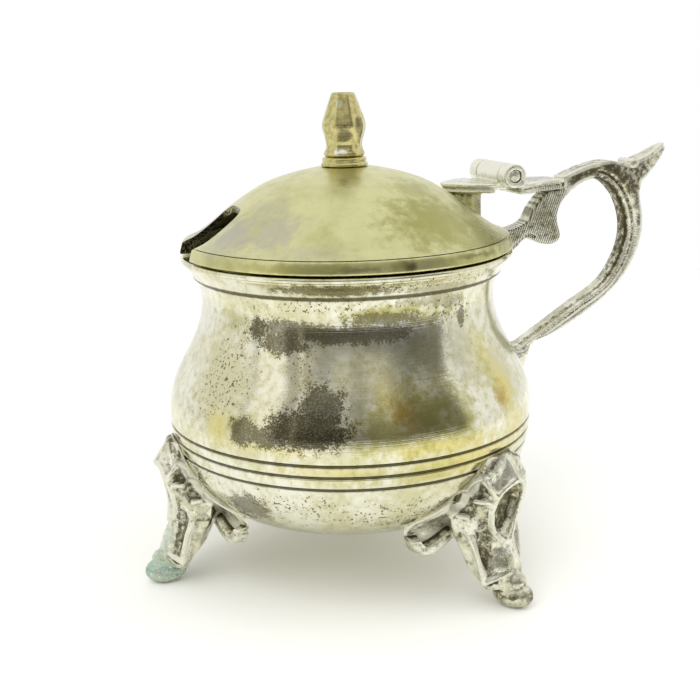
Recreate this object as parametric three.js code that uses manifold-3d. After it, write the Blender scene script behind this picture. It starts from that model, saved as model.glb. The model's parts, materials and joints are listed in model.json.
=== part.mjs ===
// Silver-plated condiment pot with a hinged lid: a bellied bowl on three cast feet, a mouth
// moulding, a domed lid with a spoon notch and a bud finial, a scroll handle and a hinge of three
// knuckles. Millimetres, +Z up. The handle points along +X and the notch along -X.
// Every piece is laid out about the bowl's own axis, and the last group moves that axis so that
// the origin lies under the middle of the pot's box, on the surface that it stands on.
import * as THREE from "three";
import { ConvexGeometry } from "three/addons/geometries/ConvexGeometry.js";
import { mergeVertices } from "three/addons/utils/BufferGeometryUtils.js";
import Module from "manifold-3d";

const wasm = await Module();
wasm.setup();

// Fits between pieces
const seatGap = 0.3; // a cast piece and the turned wall that it is soldered to
const ringGap = 0.1; // two turned pieces soldered along a circle
const lidGap = 0.3; // the closed lid and the mouth under it
const knuckleGap = 0.15; // the side play between two knuckles
const runningGap = 0.06; // the pin in its knuckles, on the radius
const turnedSides = 36;
const smallSides = 20;

// The bowl, as radius and height up its outer wall from the middle of the base
const bowlKnots = [
  [0, 10.3], [10, 10.5], [18, 11.2], [22.6, 12.6], [26.4, 15.4], [28.9, 19.0], [30.1, 23.0],
  [30.55, 27.6], [30.2, 31.4], [28.75, 35.2], [26.5, 39.0], [24.9, 42.8], [24.25, 46.0],
  [24.4, 48.5], [24.9, 50.6],
];
const bowlWall = 1.1;
const mouthRadius = 24.9; // outside of the straight collar inside the moulding
const mouthTop = 54.2;
const grooveHeights = [23.1, 25.1, 26.9];
const grooveHalfWidth = 0.42;
const grooveDepth = 0.5;

// The moulding round the mouth, as radius and height
const mouldingFoot = 50.75;
const mouldingKnots = [[25.45, 50.75], [25.75, 51.3], [26.3, 52.2], [26.95, 53.15]];
const mouldingBead = [[27.3, 53.45], [27.3, 54.0], [27.1, 54.2]];

// The lid: a solid edge band, a domed sheet on it and the notch for a spoon
const bandInner = 25.2;
const bandBottom = mouthTop + lidGap;
const bandTop = 56.5;
const bandOuterFoot = 27.3;
const bandOuterTop = 26.75;
const bandChamfer = 0.25;
const domeKnots = [
  [26.5, 56.6], [24.5, 57.5], [21.8, 59.4], [18.6, 62.1], [13.95, 64.95], [9.8, 66.45], [5.7, 67.45],
];
const domeWall = 0.9;
const domeLip = 24.5; // the inner edge of the dome's seat on the band
const domeSeatRadius = 4.2; // the flat in the middle of the dome, under the finial
const domeSeatHeight = 67.7;
const studHole = 1.3;
const notchHalfWidth = 4.3;
const notchInnerEnd = 18.2;
const notchCorner = 1.6;

// The finial: a collar, a bud on a stud and the nut inside the lid
const collarProfile = [
  [studHole, 67.8], [3.85, 67.8], [3.85, 68.2], [3.62, 68.55], [3.62, 69.0], [3.3, 69.3],
  [studHole, 69.3],
];
const budBase = 69.4;
const budKnots = [
  [3.3, 69.9], [2.9, 71.0], [3.1, 72.2], [3.52, 74.1], [3.35, 75.3], [2.75, 77.0], [2.2, 78.5],
  [1.85, 79.25],
];
const overallHeight = 79.5;
const budTopRadius = 1.6;
const studRadius = 1.15;
const studFoot = 64.4;
const nutAcrossFlats = 4.6;
const nutThickness = 1.7;

// The hinge, whose axis lies along Y behind the dome
const hingeX = 27.2;
const hingeZ = 65.25;
const knuckleRadius = 1.95;
const pinRadius = 1.05;
const hingeHalfLength = 7.25;
const middleHalfLength = 4.25;
const lidLeafTop = 64.1;
const lidLeafThickness = 1.2;
const lidLeafOutline = [[24.95, 7.0], [23.0, 6.4], [20.6, 4.9], [18.6, 3.0], [17.3, 1.3], [16.9, 0]];
const leafLip = 0.5; // a leaf has a lip along its upper and lower edge, and a groove between them
const leafGroove = 0.35;
const lidLeafInset = 0.7; // the web under the leaf stands this far inside its edge
const lidLeafWebEnd = 22.6;
const lidTongue = 3.2; // the leaf's reach under the middle knuckle
const potLeafTop = 63.9;
const potLeafThickness = 1.7;
const potLeafOutline = [[38.7, 2.9], [37.0, 3.4], [34.5, 4.3], [31.5, 5.8], [29.6, 7.2], [28.0, 7.2]];

// The handle, as distance from the bowl's axis and height, in its own upright plane
const handleWidth = 4.6;
const handleBevel = 0.45;
// A groove sets off a bead along the inner edge of the scroll, from the top of the arch down the arm
const beadWidth = 0.5;
const beadGroove = { width: 0.6, depth: 0.4, draft: 0.1 };
const beadSteps = [2, -2]; // the steps of the inner edge that the groove leaves out at its two ends
const handleTail = [[29.0, 30.2], [32.1, 30.2], [32.5, 32.4], [33.1, 34.6]];
const handleBack = [
  [34.1, 35.4], [39.0, 37.3], [45.0, 40.7], [50.1, 44.7], [53.3, 49.3], [54.75, 54.8], [54.0, 60.6],
];
const handleSpurBack = [[54.4, 62.5], [56.3, 64.2], [58.2, 66.1], [60.0, 68.1]];
const handleSpurTop = [[59.3, 69.15], [57.8, 68.5], [55.9, 67.4], [53.8, 66.6], [52.4, 65.7]];
const handleTop = [[51.2, 65.8], [47.7, 66.5], [43.5, 65.8], [38.95, 64.2]];
const handleStep = [[38.95, 61.9], [36.4, 61.9]];
const bracketLeft = [[35.2, 61.1], [33.4, 58.9], [32.3, 56.9], [30.0, 55.8], [26.0, 55.4]];
const bracketFoot = [[24.0, 55.4], [24.0, 50.6], [27.2, 50.6]];
const bracketRight = [
  [28.8, 51.4], [30.6, 52.8], [32.3, 54.0], [33.7, 53.4], [35.5, 52.7], [37.5, 52.8], [38.6, 54.0],
  [38.0, 56.8], [38.8, 60.1], [40.6, 61.7],
];
const handleInside = [
  [42.9, 61.3], [45.9, 62.65], [49.4, 61.5], [51.8, 58.9], [52.7, 54.4], [51.2, 49.1], [47.4, 45.1],
  [41.2, 41.35], [35.0, 37.55], [31.2, 35.25],
];

// The feet. Each is one casting: a leaf against the bowl whose lower edge is a gutter with a raised
// rim, and a broad leg with a pointed hollow in front, two scoops and a channel down each side
const footAngles = { foot_front: 180, foot_left: 58.5, foot_right: -58.5 };
const leafOuter = [
  [26.2, 10.2], [27.3, 10.5], [27.4, 11.4], [26.2, 12.2], [25.7, 13.4], [26.4, 15.0], [28.3, 16.8],
  [30.2, 19.6], [31.3, 22.4], [31.3, 25.2],
];
const leafInner = [[24.4, 25.2], [24.4, 10.6]];
const leafBar = [15, 36]; // the leaf's outline is cut through the shell between these distances
const leafOutline = [
  [0, 24.9], [3.2, 23.9], [6.2, 21.9], [9.2, 19.5], [11.5, 17.2], [12.4, 15.0], [12.2, 12.2],
  [10.9, 10.4], [7.8, 10.8], [5.2, 12.0], [3.4, 13.6],
];
const rimRadius = 0.55;
const gutterEndRim = [[26.2, 9.6, 10.8], [25.2, 11.5, 11.3], [24.4, 12.2, 13.0], [23.9, 12.3, 15.4]];
// Half cross-sections of the leg from the top down: a height, then distance out and half width
const legSections = [
  [24.9, [[31.5, 0], [31.2, 1.4], [30.4, 2.9], [28.4, 3.0]]],
  [23.2, [[32.5, 0], [31.7, 2.6], [30.7, 4.7], [28.4, 5.0]]],
  [21.2, [[33.6, 0], [32.5, 2.6], [31.1, 5.0], [28.0, 5.9]]],
  [19.3, [[33.0, 0.4], [32.6, 3.7], [30.5, 5.7], [27.0, 6.6]]],
  [16.9, [[32.1, 0.4], [31.9, 4.3], [29.8, 6.2], [26.0, 7.0]]],
  [12.9, [[31.5, 0.4], [31.3, 2.9], [29.1, 6.2], [26.3, 6.6], [24.4, 3.0]]],
  [10.2, [[32.1, 0], [31.9, 1.0], [30.0, 5.7], [27.5, 6.0], [25.3, 2.6]]],
  [7.2, [[33.5, 0], [33.2, 1.2], [30.7, 5.3], [28.4, 5.4], [26.8, 2.4]]],
  [5.2, [[34.2, 0], [33.6, 1.7], [31.0, 5.0], [29.8, 4.6], [28.6, 2.2]]],
  [3.4, [[33.6, 0], [32.8, 1.8], [31.0, 3.6], [30.2, 3.2], [29.6, 1.6]]],
];
// The pointed hollow in front: half widths at its mouth, and its narrower floor
const frontHollowMouth = {
  out: 34.0,
  line: [[20.8, 0.3], [19.4, 3.4], [17.2, 4.8], [15.0, 4.3], [12.9, 2.9], [10.9, 0.3]],
};
const frontHollowFloor = [[31.9, 19.2, 0.2], [30.6, 17.6, 2.6], [30.0, 15.2, 2.4], [30.9, 12.2, 0.2]];
// Two scoops in each side of the leg, and a channel down it
const scoops = [
  { centre: [31.3, 6.0, 20.6], size: [1.7, 1.9, 1.9] },
  { centre: [29.2, 7.6, 17.9], size: [1.8, 2.2, 1.9] },
];
const sideChannel = { route: [[32.4, 5.6, 14.6], [32.1, 4.7, 10.4], [33.5, 4.4, 5.6]], radius: 2.1 };
const toeCentre = [33.2, 2.05];
const toeSize = [3.6, 2.55, 2.25];
const knuckleCentre = [32.9, 4.0]; // a ball lies on the toe, with a crease between them
const knuckleSize = [2.6, 2.2, 1.9];

const footReach = toeCentre[0] + toeSize[0];
const handleReach = handleSpurBack[handleSpurBack.length - 1][0];
const axisX = (footReach - handleReach) / 2;

// A smooth line through a few knots, with a number of steps between two of them
function smooth(knots, steps = 2) {
  const curve = new THREE.SplineCurve(knots.map(([x, y]) => new THREE.Vector2(x, y)));
  return curve.getPoints((knots.length - 1) * steps).map((point) => [point.x, point.y]);
}

// The radius of a wall at a height, along the straight steps of its line
function radiusAt(line, height) {
  const next = Math.max(1, line.findIndex(([, z]) => z >= height));
  const [r0, z0] = line[next - 1];
  const [r1, z1] = line[next];
  return r0 + ((r1 - r0) * (height - z0)) / (z1 - z0);
}

// A line moved sideways by a distance, to the right of its direction of travel
function offset(line, distance, closed = false) {
  const last = line.length - 1;
  return line.map(([x, y], i) => {
    const [x0, y0] = i > 0 || !closed ? line[Math.max(0, i - 1)] : line[last];
    const [x1, y1] = i < last || !closed ? line[Math.min(last, i + 1)] : line[0];
    const length = Math.hypot(x1 - x0, y1 - y0);
    return [x + (distance * (y1 - y0)) / length, y - (distance * (x1 - x0)) / length];
  });
}

// A closed solid from a geometry, with its shared corners merged and its faces outwards
function solid(geometry) {
  geometry.deleteAttribute("normal");
  geometry.deleteAttribute("uv");
  const merged = mergeVertices(geometry, 1e-4);
  const corners = merged.attributes.position.array;
  const faces = [];
  let volume = 0;
  for (let i = 0; i < merged.index.count; i += 3) {
    const [a, b, c] = [0, 1, 2].map((k) => merged.index.getX(i + k));
    if (a === b || b === c || c === a) continue;
    faces.push(a, b, c);
    const [p, q, r] = [a, b, c].map((k) => new THREE.Vector3().fromArray(corners, k * 3));
    volume += p.dot(q.cross(r));
  }
  if (volume < 0) faces.reverse();
  const vertProperties = new Float32Array(corners);
  const triVerts = new Uint32Array(faces);
  return new wasm.Manifold(new wasm.Mesh({ numProp: 3, vertProperties, triVerts }));
}

// A closed profile of radius and height turned about the upright axis
function turned(profile, sides = turnedSides) {
  const closed = [...profile, profile[0]].map(([r, z]) => new THREE.Vector2(Math.max(r, 0), z));
  return solid(new THREE.LatheGeometry(closed, sides).rotateX(Math.PI / 2));
}

function shapeOf(outline) {
  return new THREE.Shape(outline.map(([x, y]) => new THREE.Vector2(x, y)));
}

// An outline in the X and Z plane made a plate along Y, about a middle plane, with its long edges
// chamfered. The outline runs anticlockwise with X to the right and Z up.
function uprightPlate(outline, width, chamfer, middle = 0) {
  const count = outline.length;
  const face = offset(outline, -chamfer, true);
  const half = width / 2;
  const all = [[face, -half], [outline, chamfer - half], [outline, half - chamfer], [face, half]];
  const corners = all.flatMap(([line, y]) => line.flatMap(([x, z]) => [x, middle + y, z]));
  const cap = THREE.ShapeUtils.triangulateShape(face.map(([x, z]) => new THREE.Vector2(x, z)), []);
  const last = (all.length - 1) * count;
  const faces = cap.flatMap(([a, b, c]) => [a, b, c, c + last, b + last, a + last]);
  for (let layer = 0; layer < all.length - 1; layer += 1) {
    for (let i = 0; i < count; i += 1) {
      const [a, b] = [layer * count + i, layer * count + ((i + 1) % count)];
      faces.push(a, a + count, b, b, a + count, b + count);
    }
  }
  const geometry = new THREE.BufferGeometry();
  geometry.setAttribute("position", new THREE.Float32BufferAttribute(corners, 3));
  return solid(geometry.setIndex(faces));
}

// An outline in the Y and Z plane made a bar along X
function frontBar(outline, from, to) {
  const settings = { depth: to - from, bevelEnabled: false };
  const geometry = new THREE.ExtrudeGeometry(shapeOf(outline), settings);
  return solid(geometry.rotateX(Math.PI / 2).rotateZ(Math.PI / 2).translate(from, 0, 0));
}

// An outline in the X and Y plane made a plate between two heights
function flatPlate(outline, from, to) {
  const settings = { depth: to - from, bevelEnabled: false };
  return solid(new THREE.ExtrudeGeometry(shapeOf(outline), settings).translate(0, 0, from));
}

// A round bar along Y on the hinge's axis
function hingeBar(radius, from, to, sides = smallSides) {
  const geometry = new THREE.CylinderGeometry(radius, radius, to - from, sides);
  return solid(geometry.translate(hingeX, (from + to) / 2, 0).translate(0, 0, hingeZ));
}

// A round bar along a smooth route
function rod(route, radius, sides = 6, steps = 2) {
  const path = new THREE.CatmullRomCurve3(route.map((point) => new THREE.Vector3(...point)));
  const section = new THREE.Shape();
  for (let i = 0; i < sides; i += 1) {
    const turn = (i / sides) * 2 * Math.PI;
    const [x, y] = [radius * Math.cos(turn), radius * Math.sin(turn)];
    if (i === 0) section.moveTo(x, y);
    else section.lineTo(x, y);
  }
  const settings = { steps: steps * (route.length - 1), extrudePath: path, bevelEnabled: false };
  return solid(new THREE.ExtrudeGeometry(section, settings));
}

// Half an outline and its mirror image, across the line where coordinate k is zero
function mirrored(half, k = 1) {
  const rest = half.filter((point) => point[k] !== 0).reverse();
  return [...half, ...rest.map(([x, y]) => (k === 0 ? [-x, y] : [x, -y]))];
}

function joined(solids) {
  return solids.reduce((whole, next) => whole.add(next));
}

// The bowl's outer wall with its three turned grooves, from the base up to the moulding
const bowlLine = smooth(bowlKnots, 16);

function bowlOutside() {
  const bandFrom = grooveHeights[0] - 2 * grooveHalfWidth;
  const bandTo = grooveHeights[2] + 2 * grooveHalfWidth;
  const plain = smooth(bowlKnots, 2).filter(([, z]) => z < bandFrom || z > bandTo);
  const grooves = grooveHeights.flatMap((z) => [
    [radiusAt(bowlLine, z - grooveHalfWidth), z - grooveHalfWidth],
    [radiusAt(bowlLine, z) - grooveDepth, z],
    [radiusAt(bowlLine, z + grooveHalfWidth), z + grooveHalfWidth],
  ]);
  return [...plain, ...grooves].sort((a, b) => a[1] - b[1]);
}

function bowl() {
  const inside = offset(smooth(bowlKnots, 1), -bowlWall).slice(1, -1).reverse();
  const floor = bowlKnots[0][1] + bowlWall;
  const mouth = [[mouthRadius, mouthTop], [mouthRadius - bowlWall, mouthTop]];
  const profile = [...bowlOutside(), ...mouth, ...inside, [0, floor]];
  return turned(profile);
}

function mouthMoulding() {
  const inner = mouthRadius + ringGap;
  return turned([[inner, mouldingFoot], ...mouldingKnots, ...mouldingBead, [inner, mouthTop]]);
}

// The room that the bowl and its moulding take up, and a gap round them for what is soldered on
function potRoom() {
  const outside = offset(smooth(bowlKnots, 2), seatGap).slice(1);
  const bead = bandOuterFoot + seatGap;
  const profile = [
    [0, bowlKnots[0][1] - seatGap], ...outside, [mouldingKnots[0][0] + seatGap, mouldingFoot],
    ...offset(mouldingKnots, seatGap).slice(1), [bead, mouldingBead[0][1]], [bead, bandTop + seatGap],
    [0, bandTop + seatGap],
  ];
  return turned(profile);
}

// The notch that a spoon passes through, from the lid's edge inwards, with rounded inner corners
function notch() {
  const [inner, half, corner] = [-notchInnerEnd, notchHalfWidth, notchCorner];
  const outline = new THREE.Path().moveTo(-40, -half).lineTo(inner - corner, -half);
  outline.absarc(inner - corner, -half + corner, corner, -Math.PI / 2, 0, false);
  outline.absarc(inner - corner, half - corner, corner, 0, Math.PI / 2, false);
  outline.lineTo(-40, half);
  const points = outline.getPoints(3).map((point) => [point.x, point.y]);
  return flatPlate(points, bandBottom - 2, overallHeight);
}

function lidDome() {
  const outside = [...smooth(domeKnots, 2), [domeSeatRadius, domeSeatHeight], [studHole, domeSeatHeight]];
  const under = domeSeatHeight - domeWall;
  const inside = offset(smooth(domeKnots, 1), -domeWall).slice(1, -1).reverse();
  const lip = [domeLip, domeKnots[0][1]];
  return turned([...outside, [studHole, under], [domeSeatRadius, under], ...inside, lip]).subtract(notch());
}

function lidBand() {
  const profile = [
    [bandInner, bandBottom], [bandOuterFoot - bandChamfer, bandBottom],
    [bandOuterFoot, bandBottom + bandChamfer], [bandOuterTop, bandTop - bandChamfer],
    [bandOuterTop - bandChamfer, bandTop], [bandInner, bandTop],
  ];
  return turned(profile).subtract(notch());
}

function finialCollar() {
  return turned(collarProfile, smallSides);
}

// The bud and the stud that passes down through the collar and the dome
function finialBud() {
  const bud = [
    [0, studFoot], [studRadius, studFoot], [studRadius, budBase], [3.1, budBase], ...smooth(budKnots, 1),
    [budTopRadius, overallHeight], [0, overallHeight],
  ];
  return turned(bud, smallSides);
}

function finialNut() {
  const top = domeSeatHeight - domeWall - ringGap;
  const hexagon = new THREE.CylinderGeometry(
    nutAcrossFlats / Math.sqrt(3), nutAcrossFlats / Math.sqrt(3), nutThickness, 6,
  );
  const body = solid(hexagon.rotateX(Math.PI / 2).translate(0, 0, top - nutThickness / 2));
  const hole = new THREE.CylinderGeometry(studHole, studHole, nutThickness + 1, smallSides);
  return body.subtract(solid(hole.rotateX(Math.PI / 2).translate(0, 0, top - nutThickness / 2)));
}

// The dome's outer face raised by the soldering gap, for what sits on it
function domeRoom() {
  const outside = offset(smooth(domeKnots, 2), seatGap);
  return turned([[0, bandTop], [outside[0][0], bandTop], ...outside, [0, domeSeatHeight + seatGap]]);
}

// A leaf's plate, with the groove that runs round its edge between two lips
function leafPlate(outline, foot, top) {
  const core = flatPlate(offset(outline, -leafGroove, true), foot, top);
  return joined([flatPlate(outline, top - leafLip, top), core, flatPlate(outline, foot, foot + leafLip)]);
}

// The leaf on the lid: a shield-shaped plate with a web down to the dome and the middle knuckle
function lidLeaf() {
  const outline = mirrored(lidLeafOutline);
  const foot = lidLeafTop - lidLeafThickness;
  const plate = leafPlate(outline, foot, lidLeafTop);
  const tongueBox = new THREE.BoxGeometry(lidTongue, 2 * middleHalfLength, lidLeafThickness);
  const tongue = solid(tongueBox.translate(hingeX - lidTongue / 2, 0, foot + lidLeafThickness / 2));
  const web = lidLeafOutline.filter(([x]) => x < lidLeafWebEnd)
    .map(([x, y]) => [x + lidLeafInset, Math.max(0, y - lidLeafInset)]);
  const corner = [lidLeafWebEnd, web[0][1]];
  const legs = flatPlate(mirrored([corner, ...web]), bandTop, foot + lidLeafThickness / 2);
  const knuckle = hingeBar(knuckleRadius, -middleHalfLength, middleHalfLength);
  const bore = hingeBar(pinRadius + runningGap, -hingeHalfLength, hingeHalfLength);
  return joined([plate, tongue, legs, knuckle]).subtract(bore).subtract(domeRoom());
}

// The leaf on the handle: a tapering plate whose end curls over the pin as the two outer knuckles
function potLeaf() {
  const foot = potLeafTop - potLeafThickness;
  const plate = leafPlate(mirrored(potLeafOutline), foot, potLeafTop);
  const curl = hingeBar(knuckleRadius, -hingeHalfLength, hingeHalfLength);
  const room = middleHalfLength + knuckleGap;
  const middle = hingeBar(knuckleRadius + 2 * knuckleGap, -room, room);
  const front = new THREE.BoxGeometry(2 * knuckleRadius, 2 * room, 2 * knuckleRadius);
  const gap = solid(front.translate(hingeX - knuckleRadius / 2, 0, hingeZ - knuckleRadius));
  const bore = hingeBar(pinRadius + runningGap, -hingeHalfLength - 1, hingeHalfLength + 1);
  return plate.add(curl).subtract(middle).subtract(gap).subtract(bore);
}

function hingePin() {
  return hingeBar(pinRadius, -hingeHalfLength, hingeHalfLength);
}

// The groove that leaves a bead along the scroll's inner edge, on both faces
function beadGrooves() {
  const { width, depth, draft } = beadGroove;
  const edge = smooth(handleInside, 2).slice(...beadSteps);
  const band = [...offset(edge, -beadWidth), ...offset(edge, -beadWidth - width).reverse()];
  const away = handleWidth - depth;
  return joined([-away, away].map((middle) => uprightPlate(band, handleWidth, draft, middle)));
}

// The handle is one casting: the scroll, its spur, the tail down the bowl and the hinge's bracket
function handle() {
  const outline = [
    ...handleTail, ...smooth(handleBack, 3), ...smooth(handleSpurBack, 1), ...handleSpurTop,
    ...smooth(handleTop, 2), ...handleStep, ...smooth(bracketLeft, 1), ...bracketFoot,
    ...smooth(bracketRight, 1), ...smooth(handleInside, 3), [29.0, 34.4],
  ];
  return uprightPlate(outline, handleWidth, handleBevel).subtract(beadGrooves()).subtract(potRoom());
}

// The tightest skin round some points
function wrapped(points) {
  return solid(new ConvexGeometry(points.map((point) => new THREE.Vector3(...point))));
}

// The skin through a row of cross-sections, each of which is convex
function lofted(sections) {
  const rings = sections.map(([z, half]) => mirrored(half).map(([x, y]) => [x, y, z]));
  return joined(rings.slice(1).map((ring, i) => wrapped([...rings[i], ...ring])));
}

function egg([x, y, z], [a, b, c], lean = 0, sides = 12) {
  const rows = 2 * Math.round(sides * 0.3);
  const ball = new THREE.SphereGeometry(1, sides, rows).scale(a, b, c);
  return solid(ball.rotateY(lean).translate(x, y, z));
}

// What is done on one side of a foot and on the other
function bothSides(make) {
  return [1, -1].map(make);
}

// The leg with its hollows, laid out along +X
function footLeg() {
  const { out, line } = frontHollowMouth;
  const mouth = line.map(([z, half]) => [half, z]);
  const front = bothSides((hand) => [
    ...mouth.map(([half, z]) => [out, hand * half, z]),
    ...frontHollowFloor.map(([x, z, half]) => [x, hand * half, z]),
  ]);
  const cuts = bothSides((hand) => [
    ...scoops.map(({ centre: [x, y, z], size }) => egg([x, hand * y, z], size, 0, 10)),
    rod(sideChannel.route.map(([x, y, z]) => [x, hand * y, z]), sideChannel.radius, 8),
  ]);
  return lofted(legSections).subtract(joined([wrapped(front.flat()), ...cuts.flat()]));
}

function footToe() {
  const pad = egg([toeCentre[0], 0, toeCentre[1]], toeSize, 0, 14);
  return pad.add(egg([knuckleCentre[0], 0, knuckleCentre[1]], knuckleSize, 0, 10));
}

// One foot, laid out along +X
function foot() {
  const shell = turned([...leafOuter, ...leafInner]);
  const leaf = shell.intersect(frontBar(mirrored(leafOutline, 0), ...leafBar));
  const rims = bothSides((hand) => rod(gutterEndRim.map(([x, y, z]) => [x, hand * y, z]), rimRadius));
  const floor = solid(new THREE.BoxGeometry(4 * footReach, footReach, 10).translate(0, 0, -5));
  const casting = joined([leaf, footLeg(), footToe(), ...rims]);
  return casting.subtract(potRoom()).subtract(floor);
}

// Finishes
function finish(color, roughness, metalness = 1) {
  return new THREE.MeshStandardMaterial({ color, roughness, metalness });
}
const silverPlate = () => finish(0xb9b4a6, 0.28);
const giltPlate = () => finish(0xa89f5c, 0.36);
const castSilver = () => finish(0xa8a496, 0.4);
const brass = () => finish(0xb4a160, 0.42);

const pot = new THREE.Group();
pot.position.x = axisX;

function add(name, body, material) {
  const { vertProperties, triVerts } = body.getMesh();
  const geometry = new THREE.BufferGeometry();
  geometry.setAttribute("position", new THREE.BufferAttribute(vertProperties, 3));
  geometry.setIndex(new THREE.BufferAttribute(triVerts, 1));
  geometry.computeVertexNormals();
  const mesh = new THREE.Mesh(geometry, material);
  mesh.name = name;
  pot.add(mesh);
  return mesh;
}

add("bowl", bowl(), silverPlate());
add("mouth_moulding", mouthMoulding(), silverPlate());
add("lid_dome", lidDome(), giltPlate());
add("lid_band", lidBand(), giltPlate());
add("finial_collar", finialCollar(), brass());
add("finial_bud", finialBud(), brass());
add("finial_nut", finialNut(), brass());
add("hinge_leaf_lid", lidLeaf(), castSilver());
add("hinge_leaf_handle", potLeaf(), castSilver());
add("hinge_pin", hingePin(), castSilver());
add("handle", handle(), castSilver());

const footCasting = foot();
for (const [name, angle] of Object.entries(footAngles)) {
  add(name, footCasting, castSilver()).rotation.z = THREE.MathUtils.degToRad(angle);
}

export default pot;
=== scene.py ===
# A silver-plated condiment pot with a hinged gilt lid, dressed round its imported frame.
# Outlines and sizes in the lists below are millimetres about the bowl's turned axis, with the
# handle along +X and the spoon notch along -X. Meshes are made in metres, in the frame's place.
import json
import math

import bmesh
import bpy
import numpy as np
from bpy.props import FloatProperty, FloatVectorProperty, IntProperty, PointerProperty
from mathutils import Matrix, Vector


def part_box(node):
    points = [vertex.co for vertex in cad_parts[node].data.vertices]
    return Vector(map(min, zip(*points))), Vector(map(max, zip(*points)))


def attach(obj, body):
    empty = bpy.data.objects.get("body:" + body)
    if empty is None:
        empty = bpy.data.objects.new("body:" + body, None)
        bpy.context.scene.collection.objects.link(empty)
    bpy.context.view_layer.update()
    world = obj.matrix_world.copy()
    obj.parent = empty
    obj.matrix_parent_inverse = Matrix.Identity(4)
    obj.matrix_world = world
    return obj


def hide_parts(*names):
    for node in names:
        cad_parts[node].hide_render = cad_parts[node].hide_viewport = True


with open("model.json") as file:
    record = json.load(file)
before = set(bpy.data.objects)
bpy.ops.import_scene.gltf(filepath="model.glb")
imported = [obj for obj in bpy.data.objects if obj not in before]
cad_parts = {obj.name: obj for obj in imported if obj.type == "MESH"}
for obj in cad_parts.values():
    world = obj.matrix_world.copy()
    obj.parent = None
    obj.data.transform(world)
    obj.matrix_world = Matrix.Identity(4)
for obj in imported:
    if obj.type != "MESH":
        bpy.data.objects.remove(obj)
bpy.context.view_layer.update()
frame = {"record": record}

bl_info = {
    "name": "Condiment pot",
    "version": (1, 0, 0),
    "blender": (4, 5, 0),
    "location": "3D View > Sidebar > Pot",
    "description": "Bowl, lid, finial, hinge, handle and feet of a tarnished silver-plated condiment pot",
    "category": "Add Mesh",
}

MM = 0.001
POT = "pot"
LID = "lid"
bowl_low, bowl_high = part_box("bowl")
AXIS_X = (bowl_low.x + bowl_high.x) / 2
BASE_Z = bowl_low.z / MM
MOUTH_Z = bowl_high.z / MM
hinge = frame["record"]["behaviour"]["joints"][0]["pos_m"]
HINGE_X = (hinge[0] - AXIS_X) / MM
HINGE_Z = hinge[2] / MM

# The bowl's outer wall as radius and height, from the middle of its base to the collar
bowl_knots = [
    (0, BASE_Z), (5, 10.34), (10, 10.55), (14, 10.85), (18, 11.45), (22.4, 12.8), (26.2, 15.5),
    (28.8, 19.0), (30.1, 23.0), (30.55, 27.3), (30.2, 31.4), (28.75, 35.2), (26.6, 39.0), (24.95, 42.8),
    (24.27, 46.0), (24.35, 48.5), (24.85, 50.6),
]
groove_heights = [23.1, 25.1, 26.9]
# The radius from which a turned piece has its full dents
DENTS_FULL_FROM = 8
# The moulding round the mouth: a step, a cove and a bead, as radius and height
moulding_outer = [
    (25.35, 50.8), (25.42, 50.78), (25.5, 51.0), (25.58, 51.3), (25.85, 51.75), (26.2, 52.3),
    (26.6, 52.8), (26.88, 53.1), (26.95, 53.28), (27.08, 53.34), (27.24, 53.46), (27.3, 53.7),
    (27.27, 53.95), (27.12, 54.12), (26.9, 54.2),
]
# The outer radius of the collar inside the moulding, and the bore of the moulding
RIM = 24.9
MOULDING_INNER = 25.0
# The lid's edge band and its dome, as radius and height
band_outer = [
    (25.2, 54.5), (26.9, 54.5), (27.1, 54.53), (27.26, 54.62), (27.3, 54.78), (27.26, 54.98),
    (27.0, 55.9), (26.86, 56.32), (26.78, 56.42), (26.62, 56.49), (26.4, 56.5), (25.2, 56.5),
]
dome_knots = [
    (26.5, 56.6), (25.6, 56.95), (24.4, 57.55), (21.8, 59.4), (18.6, 62.0), (13.95, 64.95), (9.8, 66.5),
    (5.7, 67.45), (4.2, 67.68),
]
DOME_SEAT_Z = 67.7
NOTCH_INNER_X = -18.2
NOTCH_STEPS = 8
collar_outer = [
    (1.3, 67.78), (3.6, 67.78), (3.8, 67.85), (3.85, 68.0), (3.82, 68.2), (3.7, 68.32), (3.6, 68.42),
    (3.58, 68.6), (3.62, 68.85), (3.58, 69.05), (3.4, 69.2), (3.2, 69.3), (1.3, 69.3),
]
bud_outer = [
    (1.15, 69.36), (3.1, 69.38), (3.32, 69.6), (3.3, 69.95), (3.0, 70.5), (2.88, 71.1), (2.95, 71.7),
    (3.15, 72.5), (3.42, 73.5), (3.52, 74.2), (3.42, 74.9), (3.12, 75.8), (2.76, 76.8), (2.46, 77.7),
    (2.18, 78.5), (1.98, 79.0), (1.88, 79.2), (1.78, 79.36), (1.6, 79.42),
]
STUD_FOOT_Z = 64.4
STUD_HOLE = 1.3
# The nut: radius to its flats and to its corners, and steps round it
NUT_FLAT = 2.3
NUT_CORNER = 2.66
NUT_SIDES = 48

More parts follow.
